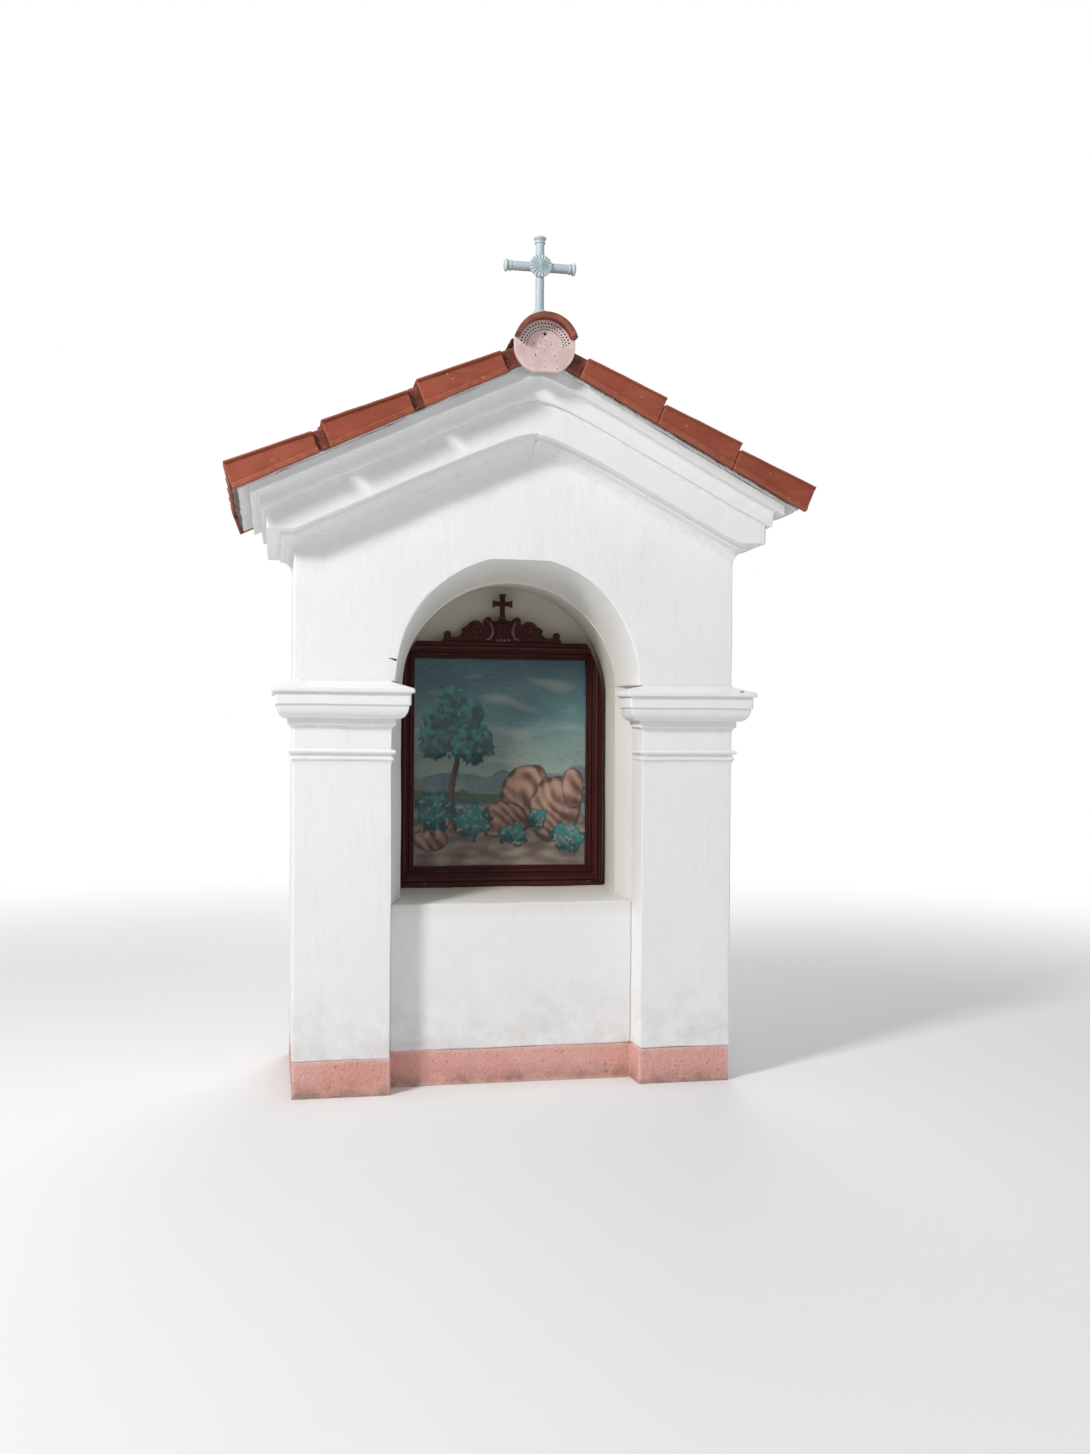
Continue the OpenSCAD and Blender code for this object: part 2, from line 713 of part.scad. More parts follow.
module cross_rosette() {
    face = arm_d / 2 + seat;
    ray_depth = 4;
    rim = 3;
    boss_h = 5;
    color(cross_grey) at_cross(arm_rise) rotate([90, 0, 0]) translate([0, 0, face]) {
        difference() {
            cylinder(h = rosette_t, d = rosette_d, $fn = smooth);
            for (i = [0 : rays - 1]) rotate(i * 360 / rays)
                translate([rosette_d / 2 - rim, 0, rosette_t - ray_depth])
                    cylinder(h = ray_depth + 1, d = PI * rosette_d / rays / 2, $fn = 12);
        }
        translate([0, 0, rosette_t])
            cylinder(h = boss_h, d1 = 0.42 * rosette_d, d2 = 0.3 * rosette_d, $fn = smooth);
    }
}

// Outline of the frame's outer edge, with its top corners cut to the arch
module frame_outline() {
    intersection() {
        translate([-corner_r, frame_z]) square([frame_w, frame_h]);
        union() {
            translate([0, corner_z]) circle(corner_r, $fn = 2 * smooth);
            translate([-corner_r, frame_z]) square([frame_w, corner_z - frame_z]);
        }
    }
}
sight_z0 = frame_z + bottom_rail_h;
sight_z1 = frame_top - top_rail_h;
// An upright rectangle round the sight, grown by g on every side
module sight(g) {
    translate([-sight_w / 2 - g, sight_z0 - g]) square([sight_w + 2 * g, sight_z1 - sight_z0 + 2 * g]);
}
module picture_panel() {
    color(panel_blue) along_y(frame_y + frame_t, frame_y + frame_t + panel_t) intersection() {
        frame_outline();
        sight(panel_lap);
    }
}
module picture_glass() {
    y0 = frame_y + frame_t - glass_t - seat;
    color(glass_tint) along_y(y0, y0 + glass_t) sight(rebate - seat);
}
// Hollows of the frame: the sight, the moulded steps to it and the rebate for the glass
module frame_hollow() {
    steps = [[0, frame_t], [14, 0.45 * frame_t], [26, 0.2 * frame_t]];
    for (s = steps) along_y(frame_y - 1, frame_y + s[1]) sight(s[0]);
    along_y(frame_y + frame_t - glass_t - 2 * seat, frame_y + frame_t + 1) sight(rebate);
}
module frame_stiles() {
    color(oxblood) difference() {
        along_y(frame_y, frame_y + frame_t) intersection() {
            frame_outline();
            union() for (side = [-1, 1])
                translate([side * (corner_r + sight_w / 2) / 2, frame_z + bottom_rail_h + frame_h / 2])
                    square([stile_w, frame_h], center = true);
        }
        frame_hollow();
        along_y(frame_y - 1, frame_y + frame_t + 1)
            translate([-corner_r, sight_z1]) square([frame_w, frame_h]);
    }
}
module frame_rails() {
    color(oxblood) difference() {
        along_y(frame_y, frame_y + frame_t) intersection() {
            frame_outline();
            union() {
                translate([-corner_r, frame_z]) square([frame_w, bottom_rail_h - seat]);
                translate([-corner_r, sight_z1 + seat]) square([frame_w, top_rail_h]);
            }
        }
        frame_hollow();
    }
}

// Outline of the crest's right half: middle, volute, hump with its leaf tip, end scroll
crest_half = let (
    hump_foot = hump_h / 2, hump_half = 36, tip = [hump_x + 57, run_h + 30], dip = run_h / 2
) concat(
    [[0, saddle_h], [volute_x - volute_r - 4, saddle_h - 4]],
    arc(volute_x, crest_h - volute_r, volute_r, 170, -20, 12),
    oval(hump_x, hump_foot, hump_half, hump_h - hump_foot, 150, 35, 10),
    [[hump_x + 44, run_h + 37], tip, [tip[0] - 11, tip[1] - 6], [tip[0] - 6, tip[1] - 18]],
    [[tip[0] + 10, run_h]],
    arc(scroll_x, run_h + dip, scroll_r, 180 + asin(dip / scroll_r), -asin(dip / scroll_r), 12),
    [[crest_w / 2, 0]]
);
module crest_board() {
    y0 = frame_y + crest_inset;
    last = len(crest_half) - 1;
    color(oxblood) along_y(y0, y0 + crest_t) translate([0, frame_top + seat])
        polygon(concat([for (i = [last : -1 : 1]) [-crest_half[i][0], crest_half[i][1]]], crest_half));
}
// A waisted shield in front of the crest board, with a sunk field
module crest_cartouche() {
    y1 = frame_y + crest_inset - seat;
    y0 = y1 - cartouche_t;
    rim = 8;
    sunk = 4;
    color(oxblood) translate([0, 0, frame_top + saddle_h / 2]) difference() {
        along_y(y0, y1) shield(0);
        along_y(y0 - 1, y0 + sunk) shield(rim);
    }
}
// Outline of the shield, drawn in by g on every side
module shield(g) {
    hollow = cartouche_half - cartouche_waist;
    half_h = cartouche_h / 2;
    side = oval(cartouche_half, 0, hollow + g, half_h + g, 110, 250, 24);
    right = [for (p = side) if (abs(p[1]) <= half_h - g) p];
    polygon(concat(right, [for (i = [len(right) - 1 : -1 : 0]) [-right[i][0], right[i][1]]]));
}
module crest_cross() {
    y0 = frame_y + crest_inset + (crest_t - crest_cross_t) / 2;
    arm_z = 0.62 * crest_cross_h;
    half_b = crest_bar_w / 2;
    half_f = crest_flare_w / 2;
    flare = 16;
    right = [
        [half_f, 0], [half_b, flare], [half_b, arm_z - half_b], [crest_cross_w / 2 - flare, arm_z - half_b],
        [crest_cross_w / 2, arm_z - half_f], [crest_cross_w / 2, arm_z + half_f],
        [crest_cross_w / 2 - flare, arm_z + half_b], [half_b, arm_z + half_b],
        [half_b, crest_cross_h - flare], [half_f, crest_cross_h]
    ];
    color(oxblood) along_y(y0, y0 + crest_cross_t) translate([0, frame_top + saddle_h + 2 * seat])
        polygon(concat(right, [for (i = [len(right) - 1 : -1 : 0]) [-right[i][0], right[i][1]]]));
}

plinth(-1);  // plinth_left
plinth(1);  // plinth_right
plinth_parapet();
pier(-1);  // pier_left
pier(1);  // pier_right
side_wall(-1);  // side_wall_left
side_wall(1);  // side_wall_right
parapet_wall();
niche_sill();
niche_back_wall();
necking(-1);  // necking_left
necking(1);  // necking_right
impost(-1);  // impost_left
impost(1);  // impost_right
front_gable();
attic_masonry();
raking_cornice(-1);  // raking_cornice_left
raking_cornice(1);  // raking_cornice_right
mirror([0, 1, 0]) raking_cornice(-1);  // rear_cornice_left
mirror([0, 1, 0]) raking_cornice(1);  // rear_cornice_right
eaves_cornice(-1);  // eaves_cornice_left
eaves_cornice(1);  // eaves_cornice_right
tile_bed(-1);  // tile_bed_left
tile_bed(1);  // tile_bed_right
roof_tiles(-1);  // roof_tiles_left
roof_tiles(1);  // roof_tiles_right
verge_tiles(-1);  // verge_tiles_left
verge_tiles(1);  // verge_tiles_right
mirror([0, 1, 0]) verge_tiles(-1);  // rear_verge_tiles_left
mirror([0, 1, 0]) verge_tiles(1);  // rear_verge_tiles_right
ridge_mortar();
ridge_tiles();
ridge_end_caps();
cross_foot();
cross_upright();
cross_arms();
cross_end_caps();
cross_rosette();
picture_panel();
picture_glass();
frame_stiles();
frame_rails();
crest_board();
crest_cartouche();
crest_cross();
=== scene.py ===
import math
import random
from contextlib import contextmanager

import bmesh
import bpy
from mathutils import Matrix, Vector, noise


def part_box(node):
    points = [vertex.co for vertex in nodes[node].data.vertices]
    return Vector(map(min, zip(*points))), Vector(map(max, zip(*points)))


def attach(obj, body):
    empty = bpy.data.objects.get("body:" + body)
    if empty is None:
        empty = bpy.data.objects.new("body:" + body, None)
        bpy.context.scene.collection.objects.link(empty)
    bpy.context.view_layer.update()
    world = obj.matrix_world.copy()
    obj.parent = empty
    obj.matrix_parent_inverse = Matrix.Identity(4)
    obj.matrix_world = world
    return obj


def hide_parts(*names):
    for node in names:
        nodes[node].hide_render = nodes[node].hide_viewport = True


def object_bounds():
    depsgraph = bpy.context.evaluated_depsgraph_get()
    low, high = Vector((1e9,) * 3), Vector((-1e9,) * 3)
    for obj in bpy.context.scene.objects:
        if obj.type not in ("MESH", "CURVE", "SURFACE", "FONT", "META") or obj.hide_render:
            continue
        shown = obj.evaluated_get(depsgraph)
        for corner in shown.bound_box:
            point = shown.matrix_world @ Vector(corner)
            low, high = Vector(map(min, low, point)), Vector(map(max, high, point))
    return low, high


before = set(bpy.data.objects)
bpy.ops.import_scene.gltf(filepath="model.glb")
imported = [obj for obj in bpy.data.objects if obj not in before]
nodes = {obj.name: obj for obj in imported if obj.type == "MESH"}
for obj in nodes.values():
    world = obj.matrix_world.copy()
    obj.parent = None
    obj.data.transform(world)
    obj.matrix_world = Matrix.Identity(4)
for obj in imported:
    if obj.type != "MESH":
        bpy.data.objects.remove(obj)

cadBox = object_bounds()
scene = bpy.context.scene
scene.view_settings.view_transform = "Standard"
print("frame loaded,", len(nodes), "nodes")


def linked(name, data):
    piece = bpy.data.objects.new(name, data)
    scene.collection.objects.link(piece)
    return piece


# the photo's own camera: level, a little left of the middle and turned to the right
cameraSet = {"place": (-0.8752, -5.2003, 1.3059), "turn": 11.3, "roll": 0.4, "lens": 33.92, "sensor": 36}
camera = linked("camera", bpy.data.cameras.new("camera"))
camera.data.lens = cameraSet["lens"]
camera.data.sensor_width = cameraSet["sensor"]
camera.matrix_world = (
    Matrix.Translation(cameraSet["place"])
    @ Matrix.Rotation(math.radians(-cameraSet["turn"]), 4, "Z")
    @ Matrix.Rotation(math.radians(90), 4, "X")
    @ Matrix.Rotation(math.radians(cameraSet["roll"]), 4, "Z")
)
scene.camera = camera


# writes the shader nodes of one material, group or world; colour is what has been painted so far
class Look:
    def __init__(self, tree):
        self.tree, self.colour = tree, None
        self.place = self.add("TexCoord").outputs["Object"]

    def feed(self, node, inputs):
        for key, value in inputs.items():
            if isinstance(value, bpy.types.NodeSocket):
                self.tree.links.new(value, node.inputs[key])
            else:
                node.inputs[key].default_value = value
        return node

    def add(self, kind, inputs=None, **settings):
        node = self.tree.nodes.new("ShaderNode" + kind)
        for key, value in settings.items():
            setattr(node, key, value)
        return self.feed(node, inputs or {})

    def math(self, operation, *values):
        return self.add("Math", dict(enumerate(values)), operation=operation).outputs[0]

    def times(self, a, b):
        return self.math("MULTIPLY", a, b)

    # a base with more values laid on it, each by its factor
    def summed(self, base, *more):
        for value, factor in more:
            base = self.math("MULTIPLY_ADD", value, factor, base)
        return base

    def ranged(self, value, low, high, outLow=0.0, outHigh=1.0):
        return self.add("MapRange", {"Value": value, "From Min": low, "From Max": high, "To Min": outLow,
                                     "To Max": outHigh}).outputs[0]

    def noise(self, scale, detail=4.0, rough=0.55, stretch=None, distortion=0.0):
        place = self.place
        if stretch:
            place = self.add("Mapping", {"Vector": place, "Scale": stretch}).outputs[0]
        return self.add("TexNoise", {"Vector": place, "Scale": scale, "Detail": detail, "Roughness": rough,
                                     "Distortion": distortion}).outputs["Fac"]

    def stones(self, scale):
        return self.add("TexVoronoi", {"Vector": self.place, "Scale": scale}).outputs["Distance"]

    def height(self):
        return self.add("SeparateXYZ", {0: self.place}).outputs["Z"]

    def attribute(self, name, output="Fac"):
        return self.add("Attribute", attribute_name=name).outputs[output]

    def edges(self, start, end, scale, breakup):
        given = {"Start": start, "End": end, "Scale": scale, "Breakup": breakup}
        return self.add("Group", given, node_tree=edgeGroup).outputs

    def specks(self, scale, size, share):
        given = {"Scale": scale, "Size": size, "Share": share}
        return self.add("Group", given, node_tree=speckGroup).outputs["Mask"]

    def blend(self, share, a, b):
        a, b = (c if isinstance(c, bpy.types.NodeSocket) else (*c, 1) for c in (a, b))
        self.colour = self.add("Mix", {0: share, 6: a, 7: b}, data_type="RGBA").outputs[2]

    # the first coat: from colour a to colour b as value runs from low to high
    def base(self, value, a, b, low=0.3, high=0.7):
        self.blend(self.ranged(value, low, high), a, b)

    # lays a colour over the rest where the mask is high
    def cover(self, mask, colour, share=None):
        self.blend(self.times(mask, share) if share else mask, self.colour, colour)

    # lays a colour over the rest as value runs from low to high
    def shade(self, value, low, high, colour, share=1.0):
        self.cover(self.ranged(value, low, high, 0.0, share), colour)

    # shows another shader instead of the main one where the mask is high
    def swap(self, mask, other):
        mix = self.add("MixShader", {0: mask, 1: self.shader.outputs[0], 2: other.outputs[0]})
        self.feed(self.tree.nodes["Material Output"], {"Surface": mix.outputs[0]})

    def finish(self, rough, relief, depth, specular=0.5):
        bump = self.add("Bump", {"Height": relief, "Distance": depth, "Strength": 1.0}).outputs[0]
        self.feed(self.shader, {"Base Color": self.colour, "Roughness": rough, "Normal": bump,
                                "Specular IOR Level": specular})
        return self.mat


def newLook(name):
    mat = bpy.data.materials.new(name)
    mat.use_nodes = True
    look = Look(mat.node_tree)
    look.mat, look.shader = mat, look.tree.nodes["Principled BSDF"]
    return look


def asMesh(name, bm):
    mesh = bpy.data.meshes.new(name)
    bm.to_mesh(mesh)
    bm.free()
    return linked(name, mesh)


# the floor stays lit and shadowed near the object and fades to plain white further out
stageSet = {"size": 60, "floor": (0.86, 0.86, 0.86, 1), "rough": 0.9, "fade": (2.2, 7.0),
            "sky": (0.93, 0.96, 1.0, 1), "skyPower": 0.36}
white = {"Color": (1, 1, 1, 1), "Strength": 1.0}


def makeStage():
    s = stageSet
    bm = bmesh.new()
    bmesh.ops.create_grid(bm, x_segments=1, y_segments=1, size=s["size"])
    floor = asMesh("floor", bm)
    look = newLook("floorPaper")
    look.feed(look.shader, {"Base Color": s["floor"], "Roughness": s["rough"]})
    away = look.add("VectorMath", {0: look.place}, operation="LENGTH").outputs["Value"]
    fade = look.add("MapRange", {"Value": away, "From Min": s["fade"][0], "From Max": s["fade"][1]},
                    interpolation_type="SMOOTHSTEP").outputs[0]
    look.swap(look.times(fade, look.add("LightPath").outputs["Is Camera Ray"]), look.add("Emission", white))
    floor.data.materials.append(look.mat)

    # a soft sky lights the object, and the camera, reflections and the glass see plain white
    world = bpy.data.worlds.new("studio")
    scene.world = world
    world.use_nodes = True
    world.node_tree.nodes.clear()
    look = Look(world.node_tree)
    rays = look.add("LightPath").outputs
    seen = look.math("MAXIMUM", rays["Is Camera Ray"], rays["Is Glossy Ray"])
    seen = look.math("MAXIMUM", seen, rays["Is Transmission Ray"])
    sky = look.add("Background", {"Color": s["sky"], "Strength": s["skyPower"]}).outputs[0]
    mix = look.add("MixShader", {0: seen, 1: sky, 2: look.add("Background", white).outputs[0]})
    look.add("OutputWorld", {"Surface": mix.outputs[0]})


lamps = [
    {"name": "keyLamp", "place": (-5.2, -4.1, 5.6), "aim": (0, -0.2, 1.4), "size": 1.1, "energy": 440,
     "color": (1.0, 0.98, 0.95)},
    {"name": "fillLamp", "place": (3.6, -5.6, 3.2), "aim": (0, 0, 1.2), "size": 4.0, "energy": 40,
     "color": (0.90, 0.95, 1.0)},
    {"name": "backLamp", "place": (1.5, 5.5, 5.0), "aim": (0, 0, 1.5), "size": 3.0, "energy": 150,
     "color": (1.0, 1.0, 1.0)},
]


def makeLamps():
    for lamp in lamps:
        obj = linked(lamp["name"], bpy.data.lights.new(lamp["name"], "AREA"))
        for key in ("size", "energy", "color"):
            setattr(obj.data, key, lamp[key])
        place = Vector(lamp["place"])
        aim = (Vector(lamp["aim"]) - place).to_track_quat("-Z", "Y").to_matrix().to_4x4()
        obj.matrix_world = Matrix.Translation(place) @ aim


makeStage()
makeLamps()
print("stage, camera and lamps ready")


def clamped(value, low=0, high=1):
    return min(high, max(low, value))


def asPiece(name, bm):
    bmesh.ops.recalc_face_normals(bm, faces=bm.faces)
    return asMesh(name, bm)


# opens a piece's mesh for a change and writes it back
@contextmanager
def edited(piece):
    bm = bmesh.new()
    bm.from_mesh(piece.data)
    yield bm
    bm.to_mesh(piece.data)
    bm.free()


# gives each corner of a piece a value that its material reads
def marked(piece, name, valueOf):
    with edited(piece) as bm:
        layer = bm.verts.layers.float.new(name)
        for v in bm.verts:
            v[layer] = valueOf(v)
    return piece


# a node's loose triangles, merged into a closed mesh; a face that two of its solids share is dropped
def nodeCopy(node, name=None):
    bm = bmesh.new()
    bm.from_mesh(nodes[node].data)
    for v in bm.verts:
        v.co = [round(c, 5) for c in v.co]
    bmesh.ops.remove_doubles(bm, verts=bm.verts, dist=1e-5)
    bm.normal_update()
    left = set(bm.faces)
    while left:
        shell = [left.pop()]
        for face in shell:
            near = {f for e in face.edges if len(e.link_faces) == 2 for f in e.link_faces} & left
            left -= near
            shell.extend(near)
        if all(abs(f.normal.dot(shell[0].normal)) > 0.999 for f in shell):
            bmesh.ops.delete(bm, geom=shell, context="FACES")
    return asMesh(name or node + "Copy", bm)


# puts the result of the piece's modifiers in place of its mesh
def applied(piece):
    old = piece.data
    piece.data = bpy.data.meshes.new_from_object(piece.evaluated_get(bpy.context.evaluated_depsgraph_get()))
    piece.modifiers.clear()
    bpy.data.meshes.remove(old)
    return piece


def boolean(piece, other, operation):
    step = piece.modifiers.new("boolean", "BOOLEAN")
    step.operation, step.solver, step.object = operation, "MANIFOLD", other
    applied(piece)
    bpy.data.objects.remove(other)
    return piece


# closes up edges under 0.6 mm wherever that keeps the mesh closed, then drops the needless ones
def cleaned(piece, angle=0.6, shortest=6e-4):
    with edited(piece) as bm:
        again = True
        while again:
            again, touched = False, set()
            short = [e for e in bm.edges if e.calc_length() < shortest]
            for edge in sorted(short, key=lambda e: e.calc_length()):
                if not edge.is_valid or any(v in touched for v in edge.verts):
                    continue
                a, b = edge.verts
                nearA, nearB = ({e.other_vert(v) for e in v.link_edges} for v in (a, b))
                corners = sum(len(f.verts) == 3 for f in edge.link_faces)
                if len(nearA & nearB) == corners and len(set(a.link_faces) & set(b.link_faces)) == 2:
                    touched |= nearA | nearB
                    bmesh.ops.pointmerge(bm, verts=[a, b], merge_co=(a.co + b.co) / 2)
                    again = True
        bmesh.ops.dissolve_limit(bm, angle_limit=math.radians(angle), verts=bm.verts, edges=bm.edges)
    return piece


def united(names, name):
    piece = nodeCopy(names[0], name)
    for node in names[1:]:
        boolean(piece, nodeCopy(node), "UNION")
    return cleaned(piece)


# joins finished meshes into one piece
def joined(name, pieces):
    bm = bmesh.new()
    for piece in pieces:
        bm.from_mesh(piece.data)
        bpy.data.objects.remove(piece)
    return asMesh(name, bm)


# how far the loop's face reaches from the middle of its edge, square to it
def faceRoom(loop):
    start, end = loop.vert.co, loop.link_loop_next.vert.co
    along, middle = (end - start).normalized(), (start + end) / 2
    inward = loop.face.normal.cross(along)
    room = 1.0
    for edge in loop.face.edges:
        (ua, wa), (ub, wb) = (((v.co - middle).dot(along), (v.co - middle).dot(inward)) for v in edge.verts)
        if edge != loop.edge and ua * ub <= 0 and ua != ub:
            reach = wa + (wb - wa) * ua / (ua - ub)
            room = min(room, reach) if reach > 1e-6 else room
    return room


# rounds the edges sharper than so many degrees, each as far as its two faces have room
def roundEdges(piece, width, segments=2, sharp=24, share=0.3, keep=None, limit=None):
    with edited(piece) as bm:
        bm.normal_update()
        weight = bm.edges.layers.float.new("bevel_weight_edge")
        for edge in bm.edges:
            if keep and keep(edge):
                continue
            if edge.is_manifold and edge.calc_face_angle() > math.radians(sharp):
                room = min(faceRoom(loop) for loop in edge.link_loops)
                edge[weight] = min(1, share * room / width, limit(edge) if limit else 1)
    step = piece.modifiers.new("bevel", "BEVEL")
    step.limit_method, step.use_clamp_overlap = "WEIGHT", False
    step.width, step.segments = width, segments
    return applied(piece)


def cutAt(bm, axis, value):
    normal = Vector((0, 0, 0))
    normal[axis] = 1
    geometry = bm.verts[:] + bm.edges[:] + bm.faces[:]
    bmesh.ops.bisect_plane(bm, geom=geometry, dist=1e-6, plane_co=normal * value, plane_no=normal)


# cuts the mesh into cells of about this size and moves its corners by some waves of noise
def roughened(piece, cell, waves, seed=0.0, reshape=None):
    with edited(piece) as bm:
        for axis in range(3):
            low = min(v.co[axis] for v in bm.verts)
            high = max(v.co[axis] for v in bm.verts)
            count = int((high - low) / cell)
            for i in range(1, count + 1):
                cutAt(bm, axis, low + (high - low) * i / (count + 1))
        if reshape:
            reshape(bm)
        shift = Vector((seed, 2.3 * seed, -1.7 * seed))
        for v in bm.verts:
            move = Vector((0, 0, 0))
            for size, amount in waves:
                move += amount * noise.noise_vector(v.co / size + shift)
            v.co += move
    return piece


# how much each corner stands out (above 0) or lies in a hollow (below 0), for wear with painted highlight on raised
# edges and painted shade in hollows
def markEdges(piece):
    return marked(piece, "edge", lambda v: clamped(
        sum(e.calc_face_angle_signed(0) for e in v.link_edges if e.is_manifold) / 1.05, -0.7))


def smoothShaded(piece):
    piece.data.polygons.foreach_set("use_smooth", [True] * len(piece.data.polygons))
    piece.modifiers.new("normals", "WEIGHTED_NORMAL").weight = 60
    return applied(piece)


# keeps the piece inside the box of the nodes it stands for, and the object inside its own
def finished(piece, slot, *replaced, grow=0.0):
    boxes = [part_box(node) for node in replaced]
    low = [max(min(box[0][i] for box in boxes) - grow, cadBox[0][i]) for i in range(3)]
    high = [min(max(box[1][i] for box in boxes) + grow, cadBox[1][i]) for i in range(3)]
    for v in piece.data.vertices:
        v.co = [clamped(v.co[i], low[i], high[i]) for i in range(3)]
    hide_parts(*replaced)
    piece.data.materials.clear()
    piece.data.materials.append(looks[slot])
    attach(piece, "root")
    return piece


def dressed(piece, slot, *replaced, grow=0.0):
    return finished(smoothShaded(markEdges(piece)), slot, *replaced, grow=grow)


def vertsOf(geometry):
    return [g for g in geometry if isinstance(g, bmesh.types.BMVert)]


# extrudes a ring of edges: the new corners and the new ring
def nextRing(bm, edges):
    made = bmesh.ops.extrude_edge_only(bm, edges=edges)["geom"]
    ring = vertsOf(made)
    return ring, [g for g in made if isinstance(g, bmesh.types.BMEdge) and all(v in ring for v in g.verts)]


# extrudes the whole sheet: the corners of its other side
def otherSide(bm):
    return vertsOf(bmesh.ops.extrude_face_region(bm, geom=bm.faces[:])["geom"])


def facingFront(x, y, z):
    return Matrix.Translation((x, y, z)) @ Matrix.Rotation(math.pi / 2, 4, "X")


def newGroup(name, inputs, outputs):
    tree = bpy.data.node_groups.new(name, "ShaderNodeTree")
    for label, value in inputs.items():
        tree.interface.new_socket(label, in_out="INPUT", socket_type="NodeSocketFloat").default_value = value
    for label in outputs:
        tree.interface.new_socket(label, in_out="OUTPUT", socket_type="NodeSocketFloat")
    return Look(tree), tree.nodes.new("NodeGroupInput").outputs, tree.nodes.new("NodeGroupOutput")


# Worn: wear on raised edges, partly a painted highlight; Hollow: painted shade in hollows and creases. Both read the
# "edge" attribute of the mesh, broken up by noise
def makeEdgeGroup():
    look, given, result = newGroup("edgeMask", {"Start": 0.25, "End": 0.8, "Scale": 60.0, "Breakup": 0.5},
                                   ["Worn", "Hollow"])
    edge = look.attribute("edge")
    rough = look.math("SUBTRACT", look.noise(given["Scale"], 5.0, 0.65), 0.5)
    rough = look.times(rough, given["Breakup"])
    for label, value in (("Worn", look.math("ADD", edge, rough)), ("Hollow", look.math("SUBTRACT", rough, edge))):
        look.feed(result, {label: look.ranged(value, given["Start"], given["End"])})
    return look.tree


# round specks or pits; a random value of each cell thins them out
def makeSpeckGroup():
    look, given, result = newGroup("specks", {"Scale": 60.0, "Size": 0.25, "Share": 0.5}, ["Mask"])
    warp = look.add("TexNoise", {"Vector": look.place, "Scale": 90.0, "Detail": 2.0}).outputs["Color"]
    warp = look.add("VectorMath", {0: warp, 1: (0.012, 0.012, 0.012)}, operation="MULTIPLY").outputs[0]
    place = look.add("VectorMath", {0: look.place, 1: warp}, operation="ADD").outputs[0]
    cells = look.add("TexVoronoi", {"Vector": place, "Scale": given["Scale"]}).outputs
    near = look.math("LESS_THAN", cells["Distance"], given["Size"])
    pick = look.add("SeparateColor", {0: cells["Color"]}).outputs[0]
    look.feed(result, {"Mask": look.times(near, look.math("LESS_THAN", pick, given["Share"]))})
    return look.tree


edgeGroup, speckGroup = makeEdgeGroup(), makeSpeckGroup()

# where the painted warm shade of the niche begins and is full, along each axis
nicheSet = {"deep": (-0.36, 0.03), "beside": (0.50, 0.47), "behind": (0.16, 0.12), "under": (1.98, 1.94),
            "over": (0.60, 0.66), "share": 0.9}


# painted shade: grows from the front of the niche to its back wall, nothing outside it
def paintedNicheShade(look):
    s = nicheSet
    x, y, z = look.add("SeparateXYZ", {0: look.place}).outputs
    beside = look.ranged(look.math("ABSOLUTE", x), *s["beside"])
    share = look.times(look.times(look.ranged(y, *s["deep"]), beside),
                       look.times(look.ranged(y, *s["behind"]), look.ranged(z, *s["under"])))
    return look.times(look.times(share, look.ranged(z, *s["over"])), s["share"])


def makePlaster():
    look = newLook("limePlaster")
    patches = look.noise(2.6, 5.0, 0.6)
    look.base(patches, (0.83, 0.832, 0.84), (0.86, 0.857, 0.85))
    streaks = look.noise(3.0, 5.0, 0.7, (9, 9, 0.55))
    look.shade(streaks, 0.58, 0.80, (0.58, 0.56, 0.51), 0.22)
    # splash dirt just over the pink band
    low = look.ranged(look.height(), 0.42, 0.12)
    splash = look.times(low, look.ranged(look.noise(9.0, 8.0, 0.7), 0.42, 0.72))
    look.cover(splash, (0.45, 0.37, 0.32), 0.45)
    # painted shade in the creases and hollows of the mouldings
    look.cover(look.edges(0.35, 1.1, 45.0, 0.9)["Hollow"], (0.42, 0.40, 0.37), 0.38)
    pits = look.specks(26.0, 0.055, 0.13)
    look.cover(pits, (0.38, 0.36, 0.34), 0.5)
    # a dark chip near the end of the right impost
    chip = look.add("VectorMath", {0: look.place, 1: (0.818, -0.415, 1.441)}, operation="DISTANCE").outputs["Value"]
    look.shade(look.summed(chip, (look.noise(70.0, 3.0, 0.6), 0.012)), 0.017, 0.013, (0.16, 0.15, 0.13))
    # painted shade inside the niche, warmer and darker towards its back wall
    look.cover(paintedNicheShade(look), (0.50, 0.455, 0.37))
    brush, lumps, fine = look.noise(1.0, 5.0, 0.6, (80, 80, 9)), look.noise(17.0), look.noise(150.0, 4.0, 0.6)
    relief = look.summed(lumps, (brush, 0.35), (fine, 0.22), (pits, -0.5))
    return look.finish(look.ranged(patches, 0.3, 0.7, 0.78, 0.92), relief, 0.0032)


def makePlinthPaint():
    look = newLook("pinkRender")
    look.base(look.noise(5.0, 6.0, 0.65), (0.72, 0.345, 0.295), (0.82, 0.46, 0.40))
    grains = look.noise(120.0, 5.0, 0.65)
    look.shade(grains, 0.50, 0.33, (0.36, 0.15, 0.13), 0.32)
    chips = look.specks(42.0, 0.17, 0.3)
    look.cover(chips, (0.26, 0.16, 0.13), 0.6)
    low = look.ranged(look.height(), 0.075, 0.0)
    soil = look.times(low, look.ranged(look.noise(14.0, 6.0, 0.7), 0.35, 0.65))
    look.cover(soil, (0.14, 0.12, 0.08), 0.75)
    # paler raised edges: wear, partly a painted highlight
    look.cover(look.edges(0.3, 0.9, 70.0, 1.0)["Worn"], (0.80, 0.60, 0.55), 0.5)
    relief = look.summed(look.times(grains, 1.4), (look.stones(95.0), -0.8), (chips, -0.6))
    return look.finish(0.9, relief, 0.0038)


